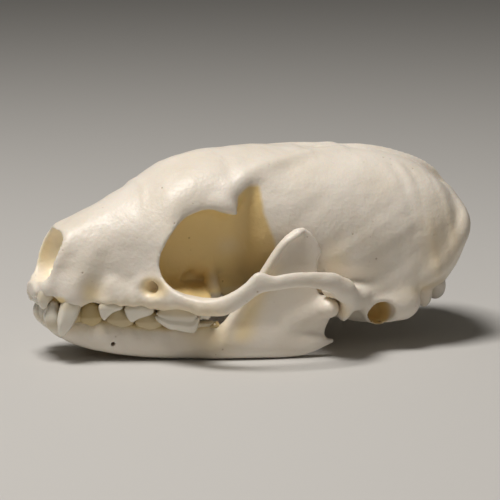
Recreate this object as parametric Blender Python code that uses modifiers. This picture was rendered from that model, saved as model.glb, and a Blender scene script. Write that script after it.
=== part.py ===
"""A marten's skull with its lower jaw closed, at life size, resting on the lower edges of the jaw.

It is modelled in millimetres and brought to metres at the end. The nose points along -X, the animal's
left side faces -Y and +Z is up. X is 0 at the middle of the skull's length and Z is 0 on the table.
The bones of one side are shaped once and mirrored across the plane Y = 0.
"""

import math

import bmesh
import bpy
import numpy as np
from mathutils import Matrix, Vector

MM = 0.001

# Driving sizes, in millimetres.
GAP = 0.3
TOOTH_ROOT = 1.6
TOOTH_SIDES = 8
CONDYLE_RADIUS = 1.7
ORBIT_CENTRE = (-13.9, 20.5)
ORBIT_RADII = (8.7, 6.5)
ORBIT_TILT = 38.0
# How wide the orbit is along its depth: y and the share of its radii.
ORBIT_DEPTHS = ((-30.0, 1.0), (-11.0, 1.0), (-9.0, 0.92), (-7.5, 0.75), (-6.8, 0.45), (-6.6, 0.1))
CONDYLE_CENTRE = (8.5, 9.5)
CONDYLE_REACH = (-20.3, -12.6)
CONDYLE_PLAY = 0.45

# Edge of the voxels that fuse the bones, and the triangles that stay afterwards.
VOXEL = 0.5
CRANIUM_TRIANGLES = 6800
BULLA_TRIANGLES = 400
DENTARY_TRIANGLES = 1300
CRANIUM_SMOOTHING = 4
SMALL_BONE_SMOOTHING = 2

# Stations of the closed sections, front to back: x, half width, top, height of the widest point,
# bottom and squareness, where 2 is an ellipse.
BRAINCASE = (
    (-6.0, 6.8, 35.0, 27.0, 17.0, 2.0),
    (-3.6, 8.6, 36.0, 26.0, 14.0, 2.0),
    (-1.6, 11.2, 36.4, 25.0, 12.2, 2.0),
    (1.0, 13.8, 36.6, 24.0, 11.0, 2.1),
    (6.0, 15.6, 36.6, 22.0, 9.8, 2.2),
    (13.0, 16.9, 36.5, 19.5, 8.8, 2.3),
    (21.0, 17.6, 36.1, 17.5, 8.3, 2.4),
    (28.0, 17.5, 34.8, 16.8, 8.3, 2.5),
    (33.0, 16.7, 32.7, 16.8, 8.6, 2.5),
    (37.0, 14.4, 29.9, 17.8, 9.8, 2.3),
    (42.6, 8.6, 26.0, 19.0, 13.0, 2.1),
)
FOREHEAD = (
    (-22.0, 6.0, 31.0, 26.0, 21.0, 2.0),
    (-18.0, 8.7, 34.2, 27.0, 23.0, 2.0),
    (-14.0, 10.6, 36.2, 27.9, 24.0, 2.0),
    (-10.5, 11.4, 36.9, 28.0, 24.5, 2.0),
    (-8.2, 11.9, 37.0, 27.8, 25.0, 2.0),
    (-6.0, 10.4, 36.9, 28.6, 25.0, 2.0),
    (-2.5, 9.0, 36.8, 29.5, 25.0, 2.0),
    (5.0, 8.0, 36.6, 30.5, 25.0, 2.0),
)
MUZZLE = (
    (-42.3, 3.2, 15.0, 13.4, 12.0, 2.2),
    (-40.7, 4.9, 17.4, 14.0, 11.6, 2.3),
    (-39.2, 5.6, 21.0, 15.5, 11.4, 2.4),
    (-37.4, 6.2, 24.4, 16.5, 11.2, 2.4),
    (-34.0, 6.9, 26.2, 17.0, 11.0, 2.4),
    (-30.0, 7.3, 28.0, 17.5, 10.9, 2.4),
    (-26.0, 9.6, 30.4, 17.0, 10.8, 2.3),
    (-23.0, 12.6, 32.2, 16.2, 10.8, 2.2),
    (-20.0, 15.2, 33.6, 15.6, 11.2, 2.1),
    (-17.0, 14.0, 34.9, 17.0, 12.0, 2.0),
    (-13.0, 11.8, 36.2, 21.0, 13.0, 2.0),
    (-9.0, 9.6, 36.8, 23.0, 13.0, 2.0),
    (-5.0, 7.4, 36.6, 23.0, 13.0, 2.0),
)
EYE_PARTITION = (
    (-20.0, 6.6, 31.0, 23.0, 11.5, 2.4),
    (-14.0, 6.6, 34.0, 23.0, 11.8, 2.4),
    (-9.0, 6.6, 35.0, 23.0, 12.0, 2.4),
    (-4.0, 7.2, 35.5, 23.0, 12.0, 2.4),
    (1.0, 8.6, 36.0, 22.5, 11.8, 2.3),
    (8.0, 9.5, 36.0, 22.0, 10.5, 2.2),
)
PALATE = (
    (-40.5, 4.5, 13.6, 12.8, 12.0, 3.0),
    (-36.0, 7.0, 13.6, 12.6, 11.8, 3.0),
    (-28.0, 8.6, 13.6, 12.4, 11.6, 3.0),
    (-20.0, 11.6, 13.6, 12.2, 11.4, 3.0),
    (-14.5, 12.6, 13.6, 12.1, 11.2, 3.0),
    (-11.0, 6.4, 13.6, 12.1, 11.1, 3.0),
    (-7.0, 4.6, 13.4, 12.0, 11.0, 3.0),
)
BRAIN_CAVITY = (
    (-1.0, 6.0, 32.0, 25.0, 18.5, 2.0),
    (2.0, 11.2, 34.6, 23.8, 15.5, 2.1),
    (6.5, 14.0, 35.2, 22.0, 13.2, 2.2),
    (13.0, 15.5, 35.1, 20.0, 10.8, 2.3),
    (21.0, 16.1, 34.7, 18.5, 10.1, 2.4),
    (28.0, 15.8, 33.3, 18.0, 10.1, 2.4),
    (32.0, 14.5, 31.4, 18.2, 10.6, 2.4),
    (34.5, 11.0, 28.6, 18.8, 12.0, 2.3),
)

# Stations of the bars and ridges: x, y, z, half height and half thickness.
CHEEK_ARCH = (
    (-22.5, -10.0, 14.2, 3.6, 2.6),
    (-20.2, -13.6, 13.4, 3.1, 2.2),
    (-18.0, -16.4, 12.5, 2.0, 1.7),
    (-15.4, -18.9, 11.6, 1.65, 1.4),
    (-12.9, -20.7, 11.9, 1.7, 1.25),
    (-10.6, -22.0, 13.4, 1.75, 1.1),
    (-8.2, -23.0, 15.6, 2.0, 1.0),
    (-5.4, -23.6, 16.1, 1.5, 0.95),
    (-1.0, -24.0, 16.3, 1.35, 0.9),
    (3.5, -24.0, 16.1, 1.45, 0.9),
    (7.0, -23.5, 15.3, 1.6, 1.0),
    (10.0, -22.3, 14.0, 2.0, 1.3),
    (12.4, -20.4, 12.3, 2.5, 1.7),
    (14.2, -17.6, 11.3, 2.5, 2.3),
    (15.6, -14.5, 11.2, 2.3, 2.6),
)
EAR_SHELF = (
    (12.0, -16.8, 11.8, 2.0, 1.8),
    (16.5, -15.8, 11.8, 1.9, 1.7),
    (22.0, -15.6, 12.0, 2.1, 1.7),
    (27.5, -16.0, 12.8, 2.0, 1.5),
    (31.5, -16.2, 14.8, 1.6, 1.2),
    (34.5, -15.8, 17.2, 1.3, 1.0),
    (36.8, -14.8, 19.8, 1.1, 0.9),
    (38.8, -13.0, 22.6, 1.1, 0.8),
    (40.2, -9.8, 24.8, 1.1, 0.8),
    (41.6, -5.0, 26.0, 1.1, 0.8),
    (42.2, 0.0, 26.4, 1.1, 0.9),
)
CROWN_CREST = (
    (4.0, 0.0, 35.6, 1.2, 0.9),
    (14.0, 0.0, 35.8, 1.2, 0.7),
    (22.0, 0.0, 35.4, 1.1, 0.8),
    (29.0, 0.0, 34.0, 1.1, 0.8),
    (35.0, 0.0, 31.5, 1.1, 0.8),
    (39.0, 0.0, 28.9, 1.1, 0.9),
    (42.0, 0.0, 26.6, 1.0, 0.9),
)
TEMPLE_LINE = (
    (-8.2, -12.0, 28.0, 0.8, 0.9),
    (-6.0, -10.0, 31.6, 0.7, 0.8),
    (-2.5, -7.9, 33.9, 0.6, 0.8),
    (3.0, -5.8, 35.1, 0.6, 0.8),
    (10.0, -3.4, 35.9, 0.6, 0.8),
    (18.0, -1.5, 35.8, 0.6, 0.8),
)
GUM_LINE = (
    (-41.4, -1.0, 13.0, 1.4, 1.3),
    (-40.2, -4.0, 12.8, 1.6, 1.4),
    (-37.0, -7.0, 12.8, 2.0, 1.8),
    (-33.5, -7.9, 12.2, 1.9, 1.5),
    (-29.5, -8.6, 11.9, 1.8, 1.5),
    (-24.5, -9.9, 11.5, 1.9, 1.5),
    (-19.0, -12.2, 11.0, 1.9, 1.6),
    (-14.6, -12.9, 10.8, 1.8, 1.8),
    (-12.2, -11.0, 11.0, 1.5, 1.6),
)
PTERYGOID = (
    (-9.0, -4.7, 13.0, 1.6, 1.0),
    (-5.0, -4.3, 11.2, 2.4, 0.9),
    (0.0, -4.1, 10.4, 2.6, 0.85),
    (4.0, -4.1, 9.4, 2.2, 0.8),
    (6.6, -4.4, 8.0, 1.1, 0.8),
)
SOCKET_WALL = (
    (12.2, -10.6, 9.8, 2.0, 1.1),
    (12.2, -14.0, 9.2, 2.4, 1.1),
    (12.1, -17.6, 9.0, 2.4, 1.1),
    (11.8, -20.2, 10.4, 2.0, 1.2),
)
SOCKET_ROOF = (
    (8.6, -9.5, 13.0, 2.0, 2.2),
    (8.8, -14.0, 13.0, 1.5, 2.2),
    (9.2, -18.0, 13.2, 1.4, 1.9),
    (10.2, -21.0, 13.6, 1.4, 1.5),
)
JAW_BODY = (
    (-41.3, -1.75, 1.3, 9.0, 8.0, 7.1, 2.2),
    (-39.6, -2.1, 1.9, 9.6, 7.4, 4.9, 2.3),
    (-37.0, -2.9, 2.4, 9.0, 6.0, 3.1, 2.3),
    (-33.5, -4.0, 2.5, 7.6, 4.6, 1.8, 2.3),
    (-30.0, -5.3, 2.4, 6.8, 3.8, 1.0, 2.3),
    (-26.0, -6.7, 2.2, 6.4, 3.3, 0.5, 2.3),
    (-21.0, -8.5, 2.2, 6.2, 3.0, 0.0, 2.4),
    (-15.0, -10.6, 2.2, 6.1, 3.0, 0.0, 2.4),
    (-10.0, -12.4, 2.0, 6.2, 3.0, 0.0, 2.4),
    (-4.0, -14.2, 1.8, 6.4, 3.0, 0.0, 2.4),
    (2.0, -15.6, 1.5, 5.6, 2.6, 0.0, 2.3),
    (6.0, -16.4, 1.1, 4.6, 2.4, 0.9, 2.2),
    (9.0, -16.8, 0.7, 3.3, 2.5, 2.0, 2.0),
    (10.4, -16.9, 0.4, 3.2, 2.9, 2.5, 2.0),
)
# The slope of the back of the skull in x and z, from above the neck hole to the crown's end.
BACK_SLOPE = ((36.0, 12.0), (42.3, 26.6))

# Where the cranium is parted: the place of the cut behind the face, the rows of the arch's stations that
# its two cuts follow, and the cuts' width and height. A bone further out than the side limit is an arch.
FACE_CUT = -5.4
FACE_CUT_SIZE = (34.0, 80.0)
ARCH_FRONT_ROW, ARCH_BACK_ROW = 2, 10
ARCH_CUT_SIZE = (6.0, 8.0)
ARCH_SIDE = 15.0

# The plate behind the cheek teeth, as its outline in x and z, front edge first.
RAMUS_OUTLINE = (
    (-12.0, 3.0),
    (-11.0, 6.6),
    (-8.8, 9.3),
    (-6.1, 12.8),
    (-3.6, 16.8),
    (-1.4, 20.4),
    (1.0, 22.9),
    (3.4, 23.9),
    (5.2, 23.3),
    (6.7, 21.3),
    (7.4, 19.4),
    (6.6, 17.2),
    (6.5, 13.6),
    (7.0, 11.2),
    (9.4, 9.4),
    (9.3, 7.6),
    (8.6, 5.6),
    (8.4, 4.2),
    (7.6, 2.6),
    (2.0, 2.0),
)
RAMUS_FRONT_Y, RAMUS_BACK_Y = -13.2, -16.6
RAMUS_LEAN = 0.06
RAMUS_LEAN_FROM = 5.0
RAMUS_THICKNESS = 1.3
RAMUS_EDGE = (
    (-11.2, -12.6, 5.0, 1.3, 1.5),
    (-8.2, -14.1, 9.6, 1.2, 1.3),
    (-5.2, -15.2, 13.6, 1.1, 1.15),
    (-2.6, -16.2, 17.8, 0.95, 1.0),
    (0.2, -17.0, 21.6, 0.8, 0.9),
    (3.2, -17.5, 23.2, 0.6, 0.8),
)

# Cheek teeth, front to back: x, y, gum height, length, width, crown height, tip shift along the row
# and turn in degrees.
UPPER_CHEEK_TEETH = (
    (-33.1, -7.9, 10.9, 1.3, 1.1, 1.2, 0.0, -12.0),
    (-30.1, -8.7, 10.6, 4.3, 2.3, 2.7, -0.9, -12.0),
    (-25.2, -9.9, 10.3, 5.1, 2.7, 3.1, -0.7, -18.0),
    (-18.7, -12.6, 9.8, 8.2, 3.1, 4.2, -1.2, -25.0),
    (-21.6, -9.9, 9.9, 2.2, 2.4, 1.6, 0.0, 0.0),
    (-13.5, -12.4, 9.6, 3.0, 3.6, 1.7, 0.0, 0.0),
    (-13.0, -9.3, 9.6, 4.0, 4.2, 1.3, 0.0, 0.0),
)
LOWER_CHEEK_TEETH = (
    (-34.4, -4.7, 7.5, 1.4, 1.2, 1.0, 0.0, -20.0),
    (-31.2, -5.3, 6.9, 3.2, 1.8, 2.0, -0.3, -20.0),
    (-27.2, -6.5, 6.3, 3.9, 2.0, 2.9, -0.3, -20.0),
    (-22.9, -7.6, 6.0, 4.3, 2.2, 3.4, -0.2, -20.0),
    (-18.9, -8.9, 5.9, 3.6, 2.4, 3.4, -0.2, -20.0),
    (-15.8, -10.1, 5.9, 3.8, 2.5, 4.0, 0.1, -20.0),
    (-12.9, -11.0, 5.9, 3.0, 2.5, 1.3, 0.0, -20.0),
    (-10.4, -11.9, 6.0, 2.0, 2.1, 0.9, 0.0, -20.0),
)
# Incisors, middle to side: x, y, gum height, width, depth and crown height.
UPPER_INCISORS = (
    (-41.9, -0.95, 12.4, 1.5, 1.6, 2.6),
    (-41.4, -2.55, 12.3, 1.6, 1.7, 2.8),
    (-40.7, -4.0, 12.2, 1.8, 1.8, 3.2),
)
LOWER_INCISORS = (
    (-40.6, -0.85, 8.8, 1.1, 1.3, 1.9),
    (-40.3, -2.05, 8.9, 1.2, 1.4, 2.0),
)
# Canines: x, y, z, half depth and half width along the crown, root first.
UPPER_CANINE = (
    (-35.9, -6.9, 13.6, 2.0, 1.6),
    (-36.9, -7.3, 11.4, 1.95, 1.5),
    (-37.9, -7.6, 9.2, 1.55, 1.2),
    (-38.6, -7.7, 7.3, 1.05, 0.85),
    (-38.9, -7.6, 5.6, 0.35, 0.3),
)
LOWER_CANINE = (
    (-37.0, -3.4, 6.0, 1.6, 1.4),
    (-37.8, -3.9, 8.2, 1.6, 1.3),
    (-38.5, -4.6, 9.9, 1.2, 1.0),
    (-38.8, -5.1, 11.2, 0.75, 0.65),
    (-38.7, -5.3, 12.0, 0.3, 0.3),
)

# Rounded forms: centre, radii and turns in degrees about X, Y and Z.
LEVEL = (0.0, 0.0, 0.0)
EAR_CAPSULE = ((18.4, -9.3, 7.9), (8.9, 4.7, 4.3), (0.0, 0.0, -16.0))
MASTOID = ((24.6, -16.2, 9.0), (3.3, 2.1, 3.4), LEVEL)
CANINE_ROOT = ((-34.6, -5.9, 16.6), (2.6, 2.7, 5.4), (0.0, 25.0, 0.0))
NECK_KNOB = ((34.6, -5.9, 10.6), (2.6, 2.7, 3.6), (20.0, 0.0, 0.0))
NOSE_HOLLOW = ((-38.5, 0.0, 18.9), (9.5, 4.2, 4.6), (0.0, -28.0, 0.0))

# Rods: start, end and the radius at each.
EAR_TUBE = ((19.2, -10.5, 8.0), (19.4, -16.4, 7.4), 2.7, 3.0)
EAR_HOLE = ((19.2, -12.6, 7.9), (19.5, -18.0, 7.3), 1.7, 2.5)
SIDE_PROCESS = ((30.2, -10.6, 11.5), (31.7, -12.2, 6.5), 3.2, 0.9)
BROW_POINT = ((-10.2, -10.4, 28.8), (-7.5, -12.6, 26.9), 1.9, 0.5)
CHEEK_CANAL = ((-26.5, -10.8, 14.4), (-15.0, -13.5, 15.4), 1.3, 1.5)
THROAT_HOLLOW = ((-10.0, 0.0, 10.2), (5.0, 0.0, 9.6), 2.7, 2.9)
NECK_HOLE = ((30.0, 0.0, 13.4), (44.0, 0.0, 12.8), 3.9, 4.3)
CONDYLE_NECK = ((8.5, -16.6, 9.5), (4.5, -16.2, 7.2), 1.6, 1.2)

# The room that the upper jaw leaves for the lower canine.
CANINE_PLAY = 0.45
LOWER_CANINE_POCKET = tuple(
    (x, y, z, depth + CANINE_PLAY, width + CANINE_PLAY)
    for x, y, z, depth, width in (*LOWER_CANINE[1:-1], (-38.7, -5.3, 13.0, 0.3, 0.3))
)


def clear_scene():
    for obj in list(bpy.data.objects):
        bpy.data.objects.remove(obj, do_unlink=True)


def bone_material(name, colour, roughness):
    material = bpy.data.materials.new(name)
    material.use_nodes = True
    shader = material.node_tree.nodes["Principled BSDF"]
    shader.inputs["Base Color"].default_value = (*colour, 1.0)
    shader.inputs["Roughness"].default_value = roughness
    shader.inputs["Metallic"].default_value = 0.0
    return material


def new_collection(name):
    collection = bpy.data.collections.new(name)
    bpy.context.scene.collection.children.link(collection)
    return collection


def mesh_object(name, points, faces):
    """A mesh object in the scene, with its faces turned outwards."""
    mesh = bpy.data.meshes.new(name)
    mesh.from_pydata([tuple(p) for p in points], [], faces)
    form = bmesh.new()
    form.from_mesh(mesh)
    bmesh.ops.recalc_face_normals(form, faces=form.faces)
    form.to_mesh(mesh)
    form.free()
    obj = bpy.data.objects.new(name, mesh)
    bpy.context.scene.collection.objects.link(obj)
    return obj


def smooth_rows(rows, steps):
    """The rows with steps - 1 more between each two, on one smooth Catmull-Rom curve."""
    table = np.array(rows, float)
    before = np.vstack([2 * table[0] - table[1], table[:-2]])
    after = np.vstack([table[2:], 2 * table[-1] - table[-2]])
    start, end = table[:-1], table[1:]
    dense = []
    for step in range(steps):
        t = step / steps
        dense.append(
            0.5
            * (
                2 * start
                + (end - before) * t
                + (2 * before - 5 * start + 4 * end - after) * t**2
                + (3 * start - before - 3 * end + after) * t**3
            )
        )
    woven = np.stack(dense, axis=1).reshape(-1, table.shape[1])
    return np.vstack([woven, table[-1]])


def skin(name, rings):
    """A closed surface over a row of rings, each an array of as many points, with a flat face at both ends."""
    count, sides = rings.shape[:2]
    faces = [tuple(range(sides))[::-1]]
    faces.append(tuple(range((count - 1) * sides, count * sides)))
    for ring in range(count - 1):
        for side in range(sides):
            turn = (side + 1) % sides
            a = ring * sides
            b = a + sides
            faces.append((a + side, a + turn, b + turn, b + side))
    return mesh_object(name, rings.reshape(-1, 3), faces)


def rounded(angle, squareness):
    """Cosine and sine of the angle, pushed out towards a square as squareness passes 2."""
    cosine, sine = np.cos(angle), np.sin(angle)
    power = 2.0 / squareness
    return (
        np.sign(cosine) * np.abs(cosine) ** power,
        np.sign(sine) * np.abs(sine) ** power,
    )


def loft(name, rows, sides=32, steps=3):
    """A body through upright sections. Rows of 6 are centred on Y = 0, and rows of 7 hold the centre's y."""
    table = np.array(rows, float)
    if table.shape[1] == 6:
        table = np.insert(table, 1, 0.0, axis=1)
    angle = np.arange(sides) / sides * 2 * math.pi
    rings = []
    for x, y, half_width, top, widest, bottom, squareness in smooth_rows(table, steps):
        across, up = rounded(angle, squareness)
        height = np.where(up > 0, top - widest, widest - bottom)
        ring = [np.full(sides, x), y + half_width * across, widest + height * up]
        rings.append(np.stack(ring, axis=1))
    return skin(name, np.array(rings))


def sweep(name, rows, sides=12, steps=3, up=(0.0, 0.0, 1.0)):
    """An oval section carried along a path, its height towards up."""
    table = smooth_rows(rows, steps)
    path = table[:, :3]
    along = np.gradient(path, axis=0)
    along /= np.linalg.norm(along, axis=1, keepdims=True)
    across = np.cross(along, np.array(up, float))
    across /= np.linalg.norm(across, axis=1, keepdims=True)
    height = np.cross(across, along)
    angle = np.arange(sides) / sides * 2 * math.pi
    rings = (
        path[:, None]
        + height[:, None] * (table[:, 3, None] * np.sin(angle))[..., None]
        + across[:, None] * (table[:, 4, None] * np.cos(angle))[..., None]
    )
    return skin(name, rings)


def ball(name, centre, radii, turn, fine=24):
    """An ellipsoid with its three radii, turned by degrees about X, Y and Z."""
    bpy.ops.mesh.primitive_uv_sphere_add(segments=fine, ring_count=fine // 2)
    obj = bpy.context.object
    obj.name = name
    rotation = Matrix.Identity(4)
    for axis, degrees in zip("XYZ", turn):
        rotation = Matrix.Rotation(math.radians(degrees), 4, axis) @ rotation
    scale = Matrix.Diagonal((*radii, 1.0))
    obj.data.transform(Matrix.Translation(Vector(centre)) @ rotation @ scale)
    return obj


def rod(name, start, end, first_radius, last_radius, sides=20):
    """A round rod between two points, with a radius at each."""
    axis = Vector(end) - Vector(start)
    bpy.ops.mesh.primitive_cone_add(
        vertices=sides, radius1=first_radius, radius2=last_radius, depth=axis.length
    )
    obj = bpy.context.object
    obj.name = name
    turn = axis.to_track_quat("Z", "Y").to_matrix().to_4x4()
    middle = (Vector(start) + Vector(end)) / 2
    obj.data.transform(Matrix.Translation(middle) @ turn)
    return obj


def mirrored(obj):
    """A copy of the object across Y = 0, facing outwards."""
    copy = bpy.data.objects.new(obj.name + "_mirrored", obj.data.copy())
    bpy.context.scene.collection.objects.link(copy)
    copy.data.transform(Matrix.Diagonal((1.0, -1.0, 1.0, 1.0)))
    copy.data.flip_normals()
    return copy


def both_sides(pieces):
    return list(pieces) + [mirrored(piece) for piece in pieces]


def applied(obj):
    """Makes the object's evaluated mesh its own, with no modifiers left."""
    graph = bpy.context.evaluated_depsgraph_get()
    mesh = bpy.data.meshes.new_from_object(obj.evaluated_get(graph))
    obj.modifiers.clear()
    obj.data = mesh
    return obj


def combine(base, pieces, operation):
    """Joins the pieces to the base, or cuts them from it, in one Boolean, and removes them."""
    group = bpy.data.collections.new("pieces")
    bpy.context.scene.collection.children.link(group)
    for piece in pieces:
        group.objects.link(piece)
    boolean = base.modifiers.new("combine", "BOOLEAN")
    boolean.operation = operation
    boolean.operand_type = "COLLECTION"
    boolean.collection = group
    boolean.solver = "MANIFOLD"
    applied(base)
    for piece in list(group.objects):
        bpy.data.objects.remove(piece, do_unlink=True)
    bpy.data.collections.remove(group)
    return base


def closed_surfaces(form):
    """The closed surfaces of a mesh as lists of vertex numbers, the one with the largest box first."""
    unseen = [True] * len(form.verts)
    islands = []
    for seed in form.verts:
        if not unseen[seed.index]:
            continue
        unseen[seed.index] = False
        island, front = [], [seed]
        while front:
            vertex = front.pop()
            island.append(vertex.index)
            for edge in vertex.link_edges:
                near = edge.other_vert(vertex)
                if unseen[near.index]:
                    unseen[near.index] = False
                    front.append(near)
        islands.append(island)
    points = np.array([vertex.co for vertex in form.verts])
    return sorted(islands, key=lambda island: -np.prod(np.ptp(points[island], axis=0)))


def keep_largest(obj):
    """Drops every closed surface but the one with the largest box."""
    return part_surfaces(obj, 1)[0]


def part_surfaces(obj, count):
    """Leaves the largest closed surface in the object and gives the next ones objects of their own."""
    whole = bmesh.new()
    whole.from_mesh(obj.data)
    islands = closed_surfaces(whole)[:count]
    pieces = []
    for island in islands:
        form = whole.copy()
        form.verts.ensure_lookup_table()
        kept = set(island)
        others = [vertex for vertex in form.verts if vertex.index not in kept]
        bmesh.ops.delete(form, geom=others, context="VERTS")
        mesh = bpy.data.meshes.new(obj.name)
        form.to_mesh(mesh)
        form.free()
        if pieces:
            piece = bpy.data.objects.new(obj.name, mesh)
            bpy.context.scene.collection.objects.link(piece)
            pieces.append(piece)
        else:
            obj.data = mesh
            pieces.append(obj)
    whole.free()
    return pieces


def soften(obj, triangles, passes):
    """Melts the joints between the pieces into fillets, then thins the mesh to the triangles given."""
    remesh = obj.modifiers.new("fuse", "REMESH")
    remesh.mode = "VOXEL"
    remesh.voxel_size = VOXEL
    smooth = obj.modifiers.new("fillet", "SMOOTH")
    smooth.factor = 0.5
    smooth.iterations = passes
    applied(obj)
    keep_largest(obj)
    thin = obj.modifiers.new("thin", "DECIMATE")
    thin.use_collapse_triangulate = True
    thin.ratio = triangles / (2 * len(obj.data.polygons))
    return applied(obj)


def cheek_tooth(name, x, y, gum, length, width, crown, shift, turn, down):
    """A low cone on an oval base with a swollen collar. Its root is sunk in the bone."""
    way = -1.0 if down else 1.0
    heights = (-TOOTH_ROOT, 0.0, 0.25 * crown, 0.65 * crown, crown)
    shares = (0.8, 0.9, 1.0, 0.68, 0.18)
    shifts = (0.0, 0.0, 0.0, 0.6 * shift, shift)
    angle = np.arange(TOOTH_SIDES) / TOOTH_SIDES * 2 * math.pi
    rings = []
    for height, share, along in zip(heights, shares, shifts):
        ring = [
            along + share * length / 2 * np.cos(angle),
            share * width / 2 * np.sin(angle),
            np.full(TOOTH_SIDES, way * height),
        ]
        rings.append(np.stack(ring, axis=1))
    tooth = skin(name, np.array(rings))
    place = Matrix.Translation((x, y, gum)) @ Matrix.Rotation(math.radians(turn), 4, "Z")
    tooth.data.transform(place)
    return tooth


def incisor(name, x, y, gum, width, depth, crown, down):
    """A small chisel, widest at its edge."""
    way = -1.0 if down else 1.0
    heights = (-TOOTH_ROOT, 0.0, 0.6 * crown, crown)
    widths = (0.8, 0.85, 1.0, 0.9)
    depths = (0.8, 1.0, 0.8, 0.35)
    shifts = (0.25, 0.0, 0.0, 0.1)
    angle = (np.arange(TOOTH_SIDES) + 0.5) / TOOTH_SIDES * 2 * math.pi
    rings = []
    for height, wide, deep, back in zip(heights, widths, depths, shifts):
        ring = [
            x + back * depth + deep * depth / 2 * np.cos(angle),
            y + wide * width / 2 * np.sin(angle),
            np.full(TOOTH_SIDES, gum + way * height),
        ]
        rings.append(np.stack(ring, axis=1))
    return skin(name, np.array(rings))


def upper_teeth():
    """The teeth of the left upper row."""
    teeth = [
        cheek_tooth(f"upper_cheek_{i}", *row, down=True)
        for i, row in enumerate(UPPER_CHEEK_TEETH)
    ]
    teeth += [
        incisor(f"upper_incisor_{i}", *row, down=True)
        for i, row in enumerate(UPPER_INCISORS)
    ]
    teeth.append(sweep("upper_canine", UPPER_CANINE, sides=TOOTH_SIDES, steps=2, up=(1, 0, 0)))
    return teeth


def lower_teeth():
    """The teeth of the left lower row."""
    teeth = [
        cheek_tooth(f"lower_cheek_{i}", *row, down=False)
        for i, row in enumerate(LOWER_CHEEK_TEETH)
    ]
    teeth += [
        incisor(f"lower_incisor_{i}", *row, down=False)
        for i, row in enumerate(LOWER_INCISORS)
    ]
    teeth.append(sweep("lower_canine", LOWER_CANINE, sides=TOOTH_SIDES, steps=2, up=(1, 0, 0)))
    return teeth


def bulla_pieces(grow):
    """The hollow-looking ear capsule and its short ear tube, each made larger by grow."""
    centre, radii, turn = EAR_CAPSULE
    capsule = ball("capsule", centre, [radius + grow for radius in radii], turn)
    start, (x, y, z), first, last = EAR_TUBE
    return [capsule, rod("ear_tube", start, (x, y - grow, z), first + grow, last + grow)]


def make_bulla():
    capsule, tube = bulla_pieces(0.0)
    combine(capsule, [tube], "UNION")
    combine(capsule, [rod("ear_hole", *EAR_HOLE)], "DIFFERENCE")
    return soften(capsule, BULLA_TRIANGLES, SMALL_BONE_SMOOTHING)


def cranium_bones():
    """Everything of the upper skull that is bone, before anything is hollowed."""
    side = [
        sweep("cheek_arch", CHEEK_ARCH, sides=14),
        sweep("ear_shelf", EAR_SHELF),
        sweep("temple_line", TEMPLE_LINE, sides=8),
        sweep("gum_line", GUM_LINE),
        sweep("pterygoid", PTERYGOID),
        sweep("socket_wall", SOCKET_WALL),
        sweep("socket_roof", SOCKET_ROOF),
        ball("mastoid", *MASTOID),
        rod("side_process", *SIDE_PROCESS),
        rod("brow_point", *BROW_POINT),
        ball("canine_root", *CANINE_ROOT),
    ]
    middle = [
        loft("forehead", FOREHEAD),
        loft("muzzle", MUZZLE),
        loft("eye_partition", EYE_PARTITION, sides=24),
        loft("palate", PALATE, sides=20),
        sweep("crown_crest", CROWN_CREST, sides=8),
    ]
    return both_sides(side) + middle


def orbit_bowl():
    """The space of the left orbit: an oval tube from the side that closes to a rounded floor inside."""
    sides = 40
    angle = np.arange(sides) / sides * 2 * math.pi
    tilt = math.radians(ORBIT_TILT)
    along = ORBIT_RADII[0] * np.cos(angle)
    across = ORBIT_RADII[1] * np.sin(angle)
    x = along * math.cos(tilt) - across * math.sin(tilt)
    z = along * math.sin(tilt) + across * math.cos(tilt)
    rings = []
    for y, share in ORBIT_DEPTHS:
        ring = [
            ORBIT_CENTRE[0] + share * x,
            np.full(sides, y),
            ORBIT_CENTRE[1] + share * z,
        ]
        rings.append(np.stack(ring, axis=1))
    return skin("orbit", np.array(rings))


def cranium_hollows():
    """Cutters of the orbits, nose, brain cavity, neck hole and the canal below each eye."""
    side = [
        orbit_bowl(),
        rod("cheek_canal", *CHEEK_CANAL),
        condyle_bar("jaw_socket", CONDYLE_RADIUS + CONDYLE_PLAY, 3.0),
    ]
    middle = [
        loft("brain_cavity", BRAIN_CAVITY),
        ball("nose_hollow", *NOSE_HOLLOW),
        rod("throat_hollow", *THROAT_HOLLOW),
        back_slope(),
    ]
    return both_sides(side) + middle


def condyle_bar(name, radius, past):
    """The round cross bar that the jaw turns on, or its socket, reaching past the bar's ends."""
    x, z = CONDYLE_CENTRE
    outer, inner = CONDYLE_REACH
    return rod(name, (x, outer - past, z), (x, inner + past, z), radius, radius)


def back_slope():
    """The block whose front face is the slope from the back of the crown down to the neck hole."""
    bpy.ops.mesh.primitive_cube_add(size=1.0)
    obj = bpy.context.object
    obj.name = "back_slope"
    (low_x, low_z), (high_x, high_z) = BACK_SLOPE
    turn = Matrix.Rotation(math.atan2(high_x - low_x, high_z - low_z), 4, "Y")
    size = Matrix.Diagonal((20.0, 60.0, 60.0, 1.0))
    on_face = Vector(((low_x + high_x) / 2, 0.0, (low_z + high_z) / 2))
    obj.data.transform(Matrix.Translation(on_face) @ turn @ Matrix.Translation((10.0, 0.0, 0.0)) @ size)
    return obj


def thin_cut(name, start, end, width, height):
    """A sheet as thick as the gap between two nodes, half way between two points and square to their line."""
    bpy.ops.mesh.primitive_cube_add(size=1.0)
    obj = bpy.context.object
    obj.name = name
    along = Vector(end) - Vector(start)
    turn = along.to_track_quat("X", "Z").to_matrix().to_4x4()
    middle = (Vector(start) + Vector(end)) / 2
    size = Matrix.Diagonal((GAP, width, height, 1.0))
    obj.data.transform(Matrix.Translation(middle) @ turn @ size)
    return obj


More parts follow.
